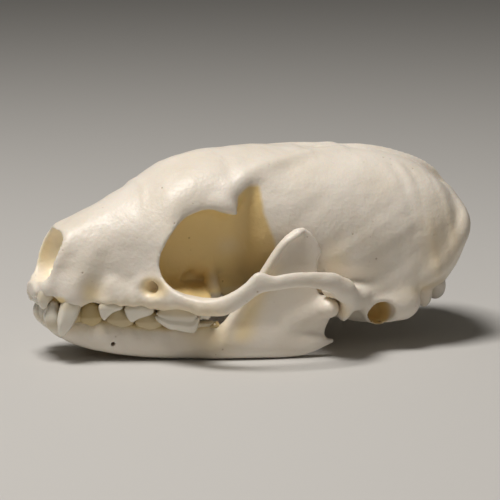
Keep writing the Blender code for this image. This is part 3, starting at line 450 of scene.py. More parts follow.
class Bone:
    """A box of evenly spaced samples of one bone's field, from y = -reach up to the plane y = 0. Before the
    first form they are FAR from bone, and each form is felt a BORDER and its blend past its own box."""

    FAR = 9.0
    BORDER = 1.2

    def __init__(self, low, high, step):
        self.step = step
        self.axes = [
            np.arange(math.floor(a / step), math.ceil(b / step) + 1, dtype=np.float32) * np.float32(step)
            for a, b in zip(low, high)
        ]
        self.field = np.full([len(axis) for axis in self.axes], self.FAR, np.float32)

    def window(self, low, high, margin):
        """The samples near a form, and their three coordinates."""
        cut, where = [], []
        for k, axis in enumerate(self.axes):
            first = np.searchsorted(axis, low[k] - margin)
            last = np.searchsorted(axis, high[k] + margin)
            cut.append(slice(first, last))
            shape = [1, 1, 1]
            shape[k] = -1
            where.append(axis[first:last].reshape(shape))
        return tuple(cut), where

    def join(self, form, blend):
        """Smooth union: the lesser gap, less h squared times blend / 4, where h is how near the gaps are."""
        low, high, gap = form
        cut, where = self.window(low, high, blend + self.BORDER)
        if self.field[cut].size:
            old, new = self.field[cut], gap(*where)
            h = np.maximum(blend - np.abs(old - new), 0.0) / blend
            self.field[cut] = np.minimum(old, new) - h * h * blend / 4

    def carve(self, form, blend):
        """Smooth difference: the hollow is joined to all that lies outside the bone."""
        self.field = -self.field
        self.join(form, blend)
        self.field = -self.field

    def mirror(self):
        """Puts the other side of the skull on, across y = 0."""
        y = self.axes[1]
        kept = y <= TINY
        half = self.field[:, kept]
        self.axes[1] = np.concatenate([y[kept], -y[kept][-2::-1]])
        self.field = np.concatenate([half, half[:, -2::-1]], axis=1)

    def read(self, grid, points):
        """Values of a grid of samples at any points, by trilinear weights."""
        base = np.array([axis[0] for axis in self.axes])
        at = (points - base) / self.step
        size = np.array(grid.shape) - 2
        cell = np.clip(np.floor(at).astype(int), 0, size)
        t = np.clip(at - cell, 0.0, 1.0)
        total = 0.0
        for corner in np.ndindex(2, 2, 2):
            weight = np.prod(np.where(corner, t, 1.0 - t), axis=1)
            i, j, k = (cell + corner).T
            total = total + weight * grid[i, j, k]
        return total

    def skin(self):
        """Points and quads of the surface where the field is zero. Each cell that it passes through gets
        the mean of the crossings on its edges, and each crossed edge joins its four cells in a quad."""
        field = self.field
        inside = field < 0
        corners = np.zeros([n - 1 for n in field.shape], np.int8)
        for a, b, c in np.ndindex(2, 2, 2):
            corners += inside[a : a + corners.shape[0], b : b + corners.shape[1], c : c + corners.shape[2]]
        cells = np.argwhere((corners > 0) & (corners < 8))
        number = np.full(corners.shape, -1, np.int64)
        number[tuple(cells.T)] = np.arange(len(cells))
        total = np.zeros((len(cells), 3))
        count = np.zeros(len(cells))
        for axis in range(3):
            others = [k for k in range(3) if k != axis]
            for sides in np.ndindex(2, 2):
                start = cells.copy()
                start[:, others[0]] += sides[0]
                start[:, others[1]] += sides[1]
                stop = start.copy()
                stop[:, axis] += 1
                one, two = field[tuple(start.T)], field[tuple(stop.T)]
                hit = (one < 0) != (two < 0)
                share = one[hit] / (one[hit] - two[hit])
                place = start[hit].astype(float)
                place[:, axis] += share
                total[hit] += place
                count[hit] += 1
        base = np.array([axis[0] for axis in self.axes])
        points = total / count[:, None] * self.step + base
        quads = []
        for axis in range(3):
            one = np.moveaxis(inside, axis, 0)[:-1]
            two = np.moveaxis(inside, axis, 0)[1:]
            table = np.moveaxis(number, axis, 0)
            crossed = np.argwhere((one != two)[:, 1:-1, 1:-1])
            i, j, k = crossed[:, 0], crossed[:, 1] + 1, crossed[:, 2] + 1
            low, before = table[i, j - 1, k - 1], table[i, j - 1, k]
            ring = np.stack([low, table[i, j, k - 1], table[i, j, k], before], axis=1)
            forward = one[i, j, k]
            if axis == 1:
                forward = ~forward
            ring[~forward] = ring[~forward][:, ::-1]
            quads.append(ring)
        return self.settle(points, np.vstack(quads))

    def settle(self, points, quads, rounds=3, share=0.6):
        """Evens the points out: in each round every point goes a share of the way to the mean of its
        neighbours, and then twice slides along the field's slope to where the field is zero."""
        slope = np.gradient(self.field, self.step)
        ends = np.vstack([quads[:, [0, 1]], quads[:, [1, 2]], quads[:, [2, 3]], quads[:, [3, 0]]])
        ends = np.vstack([ends, ends[:, ::-1]])
        near = np.bincount(ends[:, 0], minlength=len(points))
        for _ in range(rounds):
            mean = np.stack(
                [np.bincount(ends[:, 0], points[ends[:, 1], k], len(points)) for k in range(3)], axis=1
            )
            points = (1.0 - share) * points + share * mean / near[:, None]
            for _ in range(2):
                normal = np.stack([self.read(part, points) for part in slope], axis=1)
                steep = np.maximum((normal**2).sum(axis=1), 0.3**2)
                move = self.read(self.field, points) / steep
                points = points - normal * np.clip(move, -self.step, self.step)[:, None]
        normal = np.stack([self.read(part, points) for part in slope], axis=1)
        normal /= np.maximum(np.linalg.norm(normal, axis=1, keepdims=True), TINY)
        return points, quads, normal

    def closeness(self, points, normal, reach, lift=0.35):
        """How enclosed each point is: the share of bone in a box around a spot just outside it, by lift times
        the reach. It is found from running sums of the samples along each axis."""
        share = (self.field < 0).astype(np.float32)
        cells = max(1, int(round(reach / self.step)))
        for axis in range(3):
            for _ in range(2):
                nothing = np.zeros_like(np.take(share, [0], axis))
                sums = np.cumsum(share, axis=axis, dtype=np.float64)
                padded = np.concatenate([nothing, sums], axis=axis).astype(np.float32)
                count = share.shape[axis]
                high = np.clip(np.arange(count) + cells + 1, 0, count)
                low = np.clip(np.arange(count) - cells, 0, count)
                share = (np.take(padded, high, axis) - np.take(padded, low, axis)) / (2 * cells + 1)
        return self.read(share, points + normal * (lift * reach))


def cranium_bone():
    """The cranium's field: the left half is put together form by form, each blended in or out over as many
    millimetres as its blend says, and is then mirrored."""
    bone = Bone(*CRANIUM_BOX, CRANIUM_STEP)
    bone.join(body(BRAINCASE), blend=1.0)
    bone.join(body(FACE), blend=2.5)
    bone.join(body(TOOTH_BED), blend=2.2)
    bone.carve(body(PALATE_VAULT), blend=1.2)
    bone.join(bar(CANINE_SWELLING, up=(1, 0, 0)), blend=2.4)
    bone.join(ball(*INCISOR_BED), blend=1.0)
    bone.carve(ball(*CANINE_DENT), blend=2.2)
    bone.carve(ball(*LIP_DENT), blend=2.0)
    for pit in TOOTH_PITS:
        bone.carve(ball(*pit), blend=0.4)
    bone.join(bar(CHEEK_ARCH), blend=1.2)
    bone.join(body(FOREHEAD), blend=1.6)
    bone.join(bar(BROW_POINT), blend=1.6)
    bone.carve(ball(*SNOUT_DENT), blend=3.0)
    bone.carve(orbit(), blend=0.6)
    bone.join(body(EYE_PARTITION), blend=3.0)
    bone.join(bar(ORBIT_PILLAR, up=(1, 0, 0)), blend=2.0)
    bone.carve(bar(FRONT_FORAMEN, steps=1), blend=0.5)
    bone.carve(bar(REAR_FORAMEN, steps=1), blend=0.5)
    bone.carve(ball(*CANAL_DISH), blend=0.9)
    bone.carve(bar(INFRAORBITAL_CANAL), blend=0.6)
    bone.join(bar(EAR_SHELF), blend=3.0)
    bone.join(bar(CROWN_CREST), blend=1.2)
    bone.join(bar(TEMPLE_LINE), blend=2.6)
    bone.join(bar(SOCKET_ROOF), blend=1.6)
    bone.join(bar(SOCKET_WALL), blend=1.2)
    bone.join(ball(*MASTOID), blend=2.0)
    bone.join(bar(PAROCCIPITAL, up=(1, 0, 0)), blend=1.6)
    bone.carve(back_of_head(), blend=0.8)
    nuchal_crest = EAR_SHELF[4:]
    bone.join(bar(nuchal_crest), blend=2.2)
    bone.join(ball(*NECK_CONDYLE), blend=1.0)
    bone.carve(body(BRAIN_ROOM), blend=0.5)
    bone.carve(bar(NECK_HOLE, steps=2), blend=0.5)
    bone.carve(body(NOSE_ROOM), blend=0.5)
    bone.carve(nose_rim(), blend=1.0)
    bone.carve(bar(THROAT, steps=2), blend=0.8)
    bone.carve(bar(SOCKET_GROOVE, steps=1), blend=0.4)
    bone.carve(ball(*JAW_NECK_ROOM), blend=0.5)
    bone.join(bar(PTERYGOID), blend=0.7)
    bone.join(ball(*EAR_CAPSULE), blend=0.6)
    bone.join(bar(EAR_TUBE, steps=2), blend=2.0)
    bone.join(ball(*EAR_CAPSULE_SIDE), blend=1.6)
    bone.carve(bar(EAR_HOLE, steps=2), blend=0.5)
    bone.mirror()
    return bone


NOISE_CELLS = 32
NOISE_START = 100.0
CRANIUM_WAVES = ((0.12, 6.0, 1), (0.06, 2.4, 2), (0.035, 1.1, 3))
RIDGE_HEIGHT = 0.3
RIDGE_SIZE = 1.7
RIDGE_SEED = 4
FURROW_HEIGHT = 0.26
FURROW_SIZE = 2.9
FURROW_SEED = 5
UPPER_ROOTS = (-30.9, -28.4, -26.2, -23.4, -21.2, -16.6)
UPPER_ROOT_HEIGHT = 10.9
UPPER_ROOT_SWELLING = 0.3
ROOT_RADII = (0.8, 1.7)
GUM_EDGE = (7.5, 9.0)

# In a soft box each axis has four numbers: where it begins, is whole, is whole no more and ends, and y is
# counted from the middle of the skull.

BELOW = (-FAR_OFF, -FAR_OFF + 1)
ABOVE = (FAR_OFF - 1, FAR_OFF)
ANYWHERE = (*BELOW, *ABOVE)
RIDGE_BOX = ((20.0, 32.0, *ABOVE), (5.0, 10.0, *ABOVE), (10.0, 14.0, *ABOVE))
FURROW_BOX = ((0.0, 6.0, 25.0, 32.0), (5.0, 10.0, *ABOVE), (10.0, 14.0, *ABOVE))


def noise(points, size, seed):
    """Smooth noise from -1 to 1: random values on a lattice of the given size, blended by cubic weights."""
    table = np.random.default_rng(seed).uniform(-1.0, 1.0, (NOISE_CELLS, NOISE_CELLS, NOISE_CELLS))
    at = points / size + NOISE_START
    cell = np.floor(at).astype(int)
    t = at - cell
    t = t * t * (3.0 - 2.0 * t)
    total = 0.0
    for corner in np.ndindex(2, 2, 2):
        weight = np.prod(np.where(corner, t, 1.0 - t), axis=1)
        i, j, k = ((cell + corner) % NOISE_CELLS).T
        total = total + weight * table[i, j, k]
    return total


def ramp(value, start, end):
    """0 at the start and before it, 1 at the end and past it, and a smooth rise between. The end may be the
    lesser of the two."""
    t = np.clip((value - start) / (end - start), 0.0, 1.0)
    return t * t * (3.0 - 2.0 * t)


def band(value, start, whole, less, end):
    """A rise from 0 at the start to 1 where it is whole, and a fall from where it is less to 0 at the end."""
    return ramp(value, start, whole) * ramp(value, end, less)


def soft_box(place, box):
    """Share of a box with soft sides: the product of its three bands."""
    return math.prod(band(value, *span) for value, span in zip(place, box))


def patch(x, z, centre, radii):
    """Soft oval patch in the side view: e to minus the squares of x and z from its centre over its radii."""
    return np.exp(-(((x - centre[0]) / radii[0]) ** 2) - ((z - centre[1]) / radii[1]) ** 2)


def waves(p, rows):
    """Broad unevenness: a sum of noises, each with its height, size and seed."""
    return sum(height * noise(p, size, seed) for height, size, seed in rows)


def muscle_ridges(x, y, z):
    """Upright ridges at the back of the braincase: noise that is stretched along them, and across y."""
    stretched = np.stack([x + 0.12 * z, 0.15 * np.abs(y), 0.16 * z], axis=1)
    return noise(stretched, RIDGE_SIZE, RIDGE_SEED)


def cranium_relief(p):
    """How far the bone's skin stands out, in millimetres: broad unevenness everywhere, upright muscle
    ridges near the nuchal crest, and shallow slanting furrows, which are noise stretched the other way, on
    the side of the braincase. Over each root of the cheek teeth the bone swells."""
    x, y, z = p.T
    y = np.abs(y)
    place = (x, y, z)
    lift = waves(p, CRANIUM_WAVES)
    lift += RIDGE_HEIGHT * soft_box(place, RIDGE_BOX) * muscle_ridges(x, y, z)
    slant = np.stack([0.18 * (x + 0.55 * z), 0.15 * y, z - 0.6 * x], axis=1)
    lift += FURROW_HEIGHT * soft_box(place, FURROW_BOX) * noise(slant, FURROW_SIZE, FURROW_SEED)
    for root in UPPER_ROOTS:
        swelling = patch(x, z, (root, UPPER_ROOT_HEIGHT), ROOT_RADII)
        lift += UPPER_ROOT_SWELLING * swelling * ramp(y, *GUM_EDGE)
    return lift


# Stained and thin places: soft boxes, discs and patches. A disc has the x and z of its centre, the radii
# between which it fades, and how much flatter than round it is. A patch has its centre and its radii.

# Painted shade: tan and brown by how much bone stands near a spot, standing in for the shade in hollows.
WIDE_REACH = 3.6
WIDE_TAN = (0.5, 0.72)
WIDE_BROWN = (0.72, 0.95)
TIGHT_REACH = 1.4
TIGHT_BROWN = (0.62, 0.9)
# Painted shade in the orbit and in the temple behind it, where shade falls.
ORBIT_WALL_RHO = (1.04, 0.96)
ORBIT_WALL_DEPTH = (11.6, 10.4)
ORBIT_FLOOR = ((-20.0, -18.0, -3.0, -1.0), (*BELOW, 13.6, 14.6), (11.2, 12.0, 14.0, 16.0))
TEMPLE_FRONT = (-17.0, -13.0)
TEMPLE_FOOT = (10.5, 12.5)
TEMPLE_BACK = ((12.0, 21.4, 26.6, 30.4, 31.9), (1.5, 0.0, -1.9, -2.2, -2.3))
TEMPLE_TOP = ((-9.0, -7.0, -5.5, -4.2, -2.2), (28.8, 29.7, 31.0, 31.7, 31.7))
TEMPLE_SIDE = ((-9.0, -7.0, -5.5), (9.5, 10.8, 16.0))
TEMPLE_EDGE = (-0.3, 0.5)
TEMPLE_SIDE_EDGE = (-0.5, 0.5)
TEMPLE_BROWN = (-7.5, -3.5)
# Painted glow: the thin wall inside the nose is painted paler, as if light shone through it.
NOSE_WALL = ((*BELOW, -34.4, -33.9), (*BELOW, 6.2, 6.8), (13.6, 14.6, *ABOVE))
NOSE_ENTRY = ((*BELOW, -39.4, -37.6), ANYWHERE, (*BELOW, 15.2, 18.0))
NOSE_ENTRY_SHARE = 0.75
NOSE_MIDDLE = 19.0
NOSE_FACING = (-0.15, 0.25)
# Painted shade: the roof of the mouth between the teeth, the side of the throat and a band along the gum are
# painted tan.
WITHIN_TEETH = (-1.2, -2.4)
FACING_DOWN = (-0.6, 0.0)
FACING_UP = (0.3, 0.7)
MOUTH_ROOF = ((-40.4, -39.6, -10.0, -6.0), ANYWHERE, (*BELOW, 12.4, 13.4))
THROAT_SIDE = ((-9.0, -7.5, 0.0, 2.0), (*BELOW, 8.0, 9.5), (*BELOW, 12.5, 13.5))
GUM_SHADE = ((-37.0, -34.0, -15.0, -10.0), (6.5, 8.0, *ABOVE), (*BELOW, 10.4, 13.4))
# Painted shade in the ear opening, with a brown painted dark spot where its deep end lies.
EAR_DISC = ((19.6, 7.4), (2.2, 2.7))
EAR_DEPTHS = (9.0, 10.0, 15.6, 16.6)
EARDRUM_DISC = ((20.0, 8.9), (0.9, 1.3), 1.5)
EARDRUM_DEPTH = (15.2, 14.4)
# Painted shade in the notch before the canine, in the infraorbital canal and its dish, in the jaw's socket
# and in the dent behind the canine's swelling.
CANINE_DISC = ((-38.9, 11.3), (0.6, 1.3), 0.8)
CANINE_DISC_EDGE = (3.6, 4.4)
CANAL_DISC = ((-23.2, 14.3), (1.2, 2.6))
CANAL_EDGE = (8.5, 9.5)
SOCKET_DISC = ((CONDYLE_X, CONDYLE_Z), (2.4, 4.0))
SOCKET_DEPTHS = (11.0, 12.0, 21.0, 23.0)
CANINE_SHADE = ((-33.4, 13.0), (1.9, 2.4))
CANINE_SHADE_EDGE = (6.0, 7.0)
# Painted shade patches at the nape, over the mastoid and above the jaw joint, browner towards the back.
SHADE_PATCH_EDGE = (5.0, 9.0)
SHADE_PATCH_BROWN = (20.0, 26.0)
NAPE_SHADE = ((31.6, 19.0), (4.8, 6.5))
MASTOID_SHADE = ((30.0, 11.1), (5.5, 1.6))
EAR_SHADE = ((10.6, 18.2), (2.2, 3.6))
# Painted highlight: on the far wall of the orbit and on its pillar the tan painted shade is lifted where they
# catch light.
LIT_ORBIT_WALL = ((-6.9, 20.0), (1.73, 1.73))
LIT_ORBIT_PILLAR = ((-9.7, 13.6), (1.265, 1.79))


def disc(x, z, centre, radii, flat=1.0):
    """Round patch in the side view: whole within its first radius and gone at its second."""
    return ramp(np.hypot(x - centre[0], flat * (z - centre[1])), *radii[::-1])


def sheltered_shade_marks(place):
    """Shares of painted shade on the orbit's wall, on its floor, and on the temple up to its edges behind,
    above and outside."""
    x, y, z = place
    u, v = in_orbit_oval(x, z)
    rho = np.hypot(u / ORBIT_RADII[0], v / ORBIT_RADII[1])
    wall = ramp(rho, *ORBIT_WALL_RHO) * ramp(y, *ORBIT_WALL_DEPTH)
    temple = ramp(x, *TEMPLE_FRONT) * ramp(z, *TEMPLE_FOOT)
    temple *= ramp(np.interp(z, *TEMPLE_BACK) - x, *TEMPLE_EDGE)
    temple *= ramp(np.interp(x, *TEMPLE_TOP) - z, *TEMPLE_EDGE)
    temple *= ramp(np.interp(x, *TEMPLE_SIDE) - y, *TEMPLE_SIDE_EDGE)
    return wall, soft_box(place, ORBIT_FLOOR), temple


def nose_glow_marks(place, points, normal):
    """Share of painted glow on the thin wall of the nose, paler as if light shone through it: where the skin
    faces the middle of the nose, and less at the bottom of its entry."""
    rise = points[:, 2] - NOSE_MIDDLE
    away = points[:, 1] * normal[:, 1] + rise * normal[:, 2]
    facing = -away / np.maximum(np.hypot(points[:, 1], rise), TINY)
    bottom = NOSE_ENTRY_SHARE * soft_box(place, NOSE_ENTRY)
    return soft_box(place, NOSE_WALL) * (1 - bottom) * ramp(facing, *NOSE_FACING)


def cranium_marks(bone, points, normal):
    """How tan and how brown each spot is painted as shade, and how pale its painted glow is. A spot gets tan
    painted shade where much bone stands within a wide reach of it, and brown where still more does, or much
    within a tight one. The orbit, the temple, the roof of the mouth, the ear and the places named above get
    tan painted shade besides, as strongly as the share before each says. Lit spots in the orbit get a painted
    highlight, and the nose gets a pale painted glow."""
    wide = bone.closeness(points, normal, WIDE_REACH)
    tight = bone.closeness(points, normal, TIGHT_REACH)
    x, y, z = points.T
    y = np.abs(y)
    place = (x, y, z)
    orbit_wall, orbit_floor, temple = sheltered_shade_marks(place)
    sheltered_shade = np.maximum.reduce([orbit_wall, orbit_floor, temple])
    nose = nose_glow_marks(place, points, normal)
    bed = np.array(TOOTH_BED)
    within_teeth = ramp(y - np.interp(x, bed[:, 0], bed[:, 1]), *WITHIN_TEETH)
    mouth = within_teeth * soft_box(place, MOUTH_ROOF) * ramp(-normal[:, 2], *FACING_DOWN)
    ear = disc(x, z, *EAR_DISC) * band(y, *EAR_DEPTHS)
    eardrum = disc(x, z, *EARDRUM_DISC) * ramp(y, *EARDRUM_DEPTH)
    canal = disc(x, z, *CANAL_DISC) * ramp(y, *CANAL_EDGE)
    socket = disc(x, z, *SOCKET_DISC) * band(y, *SOCKET_DEPTHS)
    # Painted shade at the nape, streaked along the muscle ridges, over the mastoid and above the jaw joint.
    streaks = 0.75 + 0.5 * muscle_ridges(x, y, z)
    shade_patches = [streaks * patch(x, z, *NAPE_SHADE), patch(x, z, *MASTOID_SHADE), 0.7 * patch(x, z, *EAR_SHADE)]
    stain = np.maximum.reduce(shade_patches) * ramp(y, *SHADE_PATCH_EDGE)
    # Painted highlight: the tan painted shade is lifted on the orbit's far wall and pillar.
    lit_spots = 0.3 * patch(x, z, *LIT_ORBIT_WALL) + 0.5 * patch(x, z, *LIT_ORBIT_PILLAR)

    # Tan painted shade from enclosure and sheltered places. The nose's painted glow takes some of it away.
    tan_shade = np.maximum.reduce([ramp(wide, *WIDE_TAN), sheltered_shade, 0.9 * mouth, ear]) * (1 - 0.6 * nose)
    tan_shade_places = [
        0.9 * disc(x, z, *CANINE_DISC) * ramp(y, *CANINE_DISC_EDGE),
        0.8 * soft_box(place, THROAT_SIDE),
        0.55 * canal,
        0.55 * patch(x, z, *CANINE_SHADE) * ramp(y, *CANINE_SHADE_EDGE),
        0.32 * soft_box(place, GUM_SHADE),
        0.34 * stain,
    ]
    tan_shade = np.maximum.reduce([tan_shade, *tan_shade_places]) * (1.0 - lit_spots)
    tan_shade = np.maximum(tan_shade, 0.3 * socket)

    # Brown painted shade where the bone is most enclosed, on the orbit's floor and the temple's front, and in
    # the ear hole.
    deep = np.maximum(0.8 * ramp(tight, *TIGHT_BROWN), ramp(wide, *WIDE_BROWN))
    deep = deep * (1 - 0.9 * sheltered_shade) * (1 - nose)
    deep = np.maximum(deep, 0.13 * stain * ramp(x, *SHADE_PATCH_BROWN)) * (1 - canal)
    deep = np.maximum(deep, 0.3 * orbit_floor * ramp(normal[:, 2], *FACING_UP))
    deep = np.maximum(deep, 0.3 * temple * ramp(x, *TEMPLE_BROWN))
    deep = np.maximum(deep * (1 - ear), ear * (0.2 + 0.7 * eardrum))
    return {"tan_shade": tan_shade, "deep": deep, "thin": 0.9 * nose}


# Dry bone: ivory with faint warm clouds, fine pores and a satin skin. Hollows and shaded places get painted
# shade in tan to brown, and the thin wall of the nose gets a paler painted glow.

BONE_IVORY = (0.85, 0.785, 0.695)
BONE_CLOUD = (0.73, 0.65, 0.52)
SHADE_TAN = (0.92, 0.71, 0.33)
PORE_AND_SHADE_BROWN = (0.28, 0.14, 0.04)
THIN_BONE_GLOW = (0.93, 0.82, 0.6)
CLOUD_SCALE = 95.0
CLOUD_EDGES = (0.42, 0.75)
CLOUD_SHARE = 0.55
PORE_SCALE = 620.0
PORE_EDGES = (0.05, 0.16)
PORE_GROUP_SCALE = 210.0
PORE_GROUP_EDGES = (0.6, 0.66)
PORE_SHARE = 0.5
GRAIN_SCALE = 1500.0
GRAIN_DEPTH = 0.0002
GRAIN_STRENGTH = 0.4
BONE_ROUGHNESS = 0.42
BONE_ROUGHNESS_SPREAD = (0.34, 0.52)
BONE_GLOW = 0.12
BONE_GLOW_RADIUS = (1.0, 0.6, 0.35)
BONE_GLOW_SCALE = 0.0015


def new_material(name, roughness):
    """A material with its Principled shader's plain values set on the shader itself."""
    material = bpy.data.materials.new(name)
    material.use_nodes = True
    shader = material.node_tree.nodes["Principled BSDF"]
    shader.inputs["Roughness"].default_value = roughness
    return material, material.node_tree, shader


def set_glow(shader, weight, radius, scale):
    """How much light spreads under the skin, and how far red, green and blue go."""
    shader.inputs["Subsurface Weight"].default_value = weight
    shader.inputs["Subsurface Radius"].default_value = radius
    shader.inputs["Subsurface Scale"].default_value = scale


def spread_node(tree, value, start, end, low=0.0, high=1.0):
    """Carries a value from start and end over to low and high."""
    made = tree.nodes.new("ShaderNodeMapRange")
    made.inputs["From Min"].default_value = start
    made.inputs["From Max"].default_value = end
    made.inputs["To Min"].default_value = low
    made.inputs["To Max"].default_value = high
    tree.links.new(value, made.inputs["Value"])
    return made.outputs["Result"]


def math_node(tree, operation, one, two):
    """One value by another, which is a socket or a plain number."""
    made = tree.nodes.new("ShaderNodeMath")
    made.operation = operation
    tree.links.new(one, made.inputs[0])
    if isinstance(two, float):
        made.inputs[1].default_value = two
    else:
        tree.links.new(two, made.inputs[1])
    return made.outputs["Value"]


def bone_pattern():
    """Node group: clouds from coarse noise, pores from the small cells of a Voronoi pattern that coarser
    noise lets through, and a fine grain. All follow the object's own coordinates."""
    group = bpy.data.node_groups.new("bone_pattern", "ShaderNodeTree")
    face = group.interface
    for name in ("Cloud", "Pore", "Grain"):
        face.new_socket(name=name, in_out="OUTPUT", socket_type="NodeSocketFloat")
    out = group.nodes.new("NodeGroupOutput")
    place = group.nodes.new("ShaderNodeTexCoord")
    link = group.links.new

    def noise_node(scale, detail):
        made = group.nodes.new("ShaderNodeTexNoise")
        made.inputs["Scale"].default_value = scale
        made.inputs["Detail"].default_value = detail
        link(place.outputs["Object"], made.inputs["Vector"])
        return made.outputs["Fac"]

    cloud = spread_node(group, noise_node(CLOUD_SCALE, 3.0), *CLOUD_EDGES)
    link(cloud, out.inputs["Cloud"])

    cells = group.nodes.new("ShaderNodeTexVoronoi")
    cells.inputs["Scale"].default_value = PORE_SCALE
    link(place.outputs["Object"], cells.inputs["Vector"])
    dot = spread_node(group, cells.outputs["Distance"], *PORE_EDGES, low=1.0, high=0.0)
    few = spread_node(group, noise_node(PORE_GROUP_SCALE, 1.0), *PORE_GROUP_EDGES)
    link(math_node(group, "MULTIPLY", dot, few), out.inputs["Pore"])

    link(noise_node(GRAIN_SCALE, 3.0), out.inputs["Grain"])
    return group


def bone_material():
    """Ivory, then clouds, then tan and brown painted shade and the paler painted glow of thin bone by the
    marks on the mesh, and small pores. The grain and the pores also raise and roughen the skin."""
    material, tree, shader = new_material("dry_bone", BONE_ROUGHNESS)
    link = tree.links.new
    pattern = tree.nodes.new("ShaderNodeGroup")
    pattern.node_tree = bone_pattern()

    def mixed(factor, one, two):
        mix = tree.nodes.new("ShaderNodeMix")
        mix.data_type = "RGBA"
        link(factor, mix.inputs["Factor"])
        for socket, colour in ((mix.inputs["A"], one), (mix.inputs["B"], two)):
            if isinstance(colour, tuple):
                socket.default_value = (*colour, 1.0)
            else:
                link(colour, socket)
        return mix.outputs["Result"]

    def mark(name):
        made = tree.nodes.new("ShaderNodeAttribute")
        made.attribute_name = name
        return made.outputs["Fac"]

    clouds = math_node(tree, "MULTIPLY", pattern.outputs["Cloud"], CLOUD_SHARE)
    colour = mixed(clouds, BONE_IVORY, BONE_CLOUD)
    # Painted shade: tan and brown where the marks say shade falls. Then the painted glow of the thin nose
    # wall.
    colour = mixed(mark("tan_shade"), colour, SHADE_TAN)
    colour = mixed(mark("deep"), colour, PORE_AND_SHADE_BROWN)
    colour = mixed(mark("thin"), colour, THIN_BONE_GLOW)
    pores = math_node(tree, "MULTIPLY", pattern.outputs["Pore"], PORE_SHARE)
    link(mixed(pores, colour, PORE_AND_SHADE_BROWN), shader.inputs["Base Color"])

    bump = tree.nodes.new("ShaderNodeBump")
    bump.inputs["Strength"].default_value = GRAIN_STRENGTH
    bump.inputs["Distance"].default_value = GRAIN_DEPTH
    height = math_node(tree, "SUBTRACT", pattern.outputs["Grain"], pattern.outputs["Pore"])
    link(height, bump.inputs["Height"])
    link(bump.outputs["Normal"], shader.inputs["Normal"])
    rough = spread_node(tree, pattern.outputs["Grain"], 0.0, 1.0, *BONE_ROUGHNESS_SPREAD)
    link(rough, shader.inputs["Roughness"])
    set_glow(shader, BONE_GLOW, BONE_GLOW_RADIUS, BONE_GLOW_SCALE)
    return material


MM = 0.001


def make_piece(name, points, quads, material, marks=None):
    """A mesh in metres from points in millimetres, shaded smooth. marks are values kept on its points."""
    mesh = bpy.data.meshes.new(name)
    mesh.vertices.add(len(points))
    mesh.vertices.foreach_set("co", (points * MM).astype(np.float32).ravel())
    mesh.loops.add(quads.size)
    mesh.loops.foreach_set("vertex_index", quads.astype(np.int32).ravel())
    mesh.polygons.add(len(quads))
    mesh.polygons.foreach_set("loop_start", np.arange(0, quads.size, quads.shape[1], dtype=np.int32))
    mesh.update(calc_edges=True)
    mesh.polygons.foreach_set("use_smooth", np.ones(len(quads), bool))
    for mark, values in (marks or {}).items():
        layer = mesh.attributes.new(mark, "FLOAT", "POINT")
        layer.data.foreach_set("value", values.astype(np.float32))
    mesh.materials.append(material)
    piece = bpy.data.objects.new(name, mesh)
    bpy.context.scene.collection.objects.link(piece)
    return piece


dry_bone = bone_material()
bone = cranium_bone()
points, quads, normal = bone.skin()
marks = cranium_marks(bone, points, normal)
points = points + normal * cranium_relief(points)[:, None]
cranium = make_piece("cranium", points, quads, dry_bone, marks)
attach(cranium, "root")
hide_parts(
    "rostrum",
    "braincase",
    "zygomatic_arch_left",
    "zygomatic_arch_right",
    "auditory_bulla_left",
    "auditory_bulla_right",
)


# Lower jaw
# Each half is one bone, the dentary: a body that holds the teeth, a broad thin plate behind it where the
# chewing muscles sat, a rounded cross bar that turns in the skull's socket, and a hooked corner below.

DENTARY_BOX = ((-42.6, -22.4, -0.9), (12.0, 0.6, 25.8))
DENTARY_STEP = 0.32

# Each row holds what a row of the cranium's sections holds, and the y of the section's middle.

JAW_ROWS = (
    (-40.4, 0.9, 8.4, 7.8, 7.2, 2.3, -0.9),
    (-39.6, 1.5, 8.4, 7.3, 5.8, 2.3, -1.4),
    (-37.0, 2.4, 8.3, 6.0, 3.6, 2.3, -2.6),
    (-33.5, 2.5, 8.1, 4.6, 2.2, 2.3, -4.0),
    (-30.0, 2.4, 7.6, 3.8, 1.3, 2.3, -5.3),
    (-26.0, 2.25, 6.8, 3.3, 0.7, 2.3, -6.7),
    (-21.0, 2.15, 6.4, 3.0, 0.3, 2.3, -8.5),
    (-15.0, 2.1, 6.4, 3.0, 0.15, 2.3, -10.6),
    (-10.0, 1.9, 6.3, 3.0, 0.1, 2.3, -12.4),
    (-4.0, 1.6, 6.0, 2.6, 0.1, 2.3, -14.2),
    (2.0, 1.2, 5.2, 2.2, 0.1, 2.3, -15.6),
    (6.0, 0.9, 4.0, 2.2, 0.9, 2.3, -16.4),
    (8.6, 0.6, 3.3, 2.5, 2.0, 2.3, -16.8),
    (10.2, 0.35, 3.2, 2.9, 2.5, 2.3, -16.9),
)
RAMUS_OUTLINE = (
    (-10.6, 3.0),
    (-9.7, 6.6),
    (-7.5, 9.6),
    (-4.9, 13.2),
    (-2.6, 17.0),
    (-0.7, 20.4),
    (1.0, 22.8),
    (2.6, 24.1),
    (4.2, 24.4),
    (5.6, 23.4),
    (6.9, 21.4),
    (7.7, 19.6),
    (7.0, 18.4),
    (6.9, 16.4),
    (6.8, 13.6),
    (7.4, 11.4),
    (9.6, 9.4),
    (9.6, 7.6),
    (8.8, 5.6),
    (8.4, 4.2),
    (8.2, 2.8),
    (4.0, 1.2),
)
RAMUS_THICKNESS = 1.15
RAMUS_EDGE = (
    (-9.0, -13.0, 6.0, 1.1, 1.2),
    (-6.7, -14.3, 10.2, 1.0, 1.1),
    (-4.1, -15.3, 14.2, 0.9, 1.0),
    (-1.8, -16.2, 18.2, 0.75, 0.9),
    (0.4, -17.0, 21.6, 0.65, 0.8),
    (3.0, -17.5, 23.4, 0.6, 0.75),
)
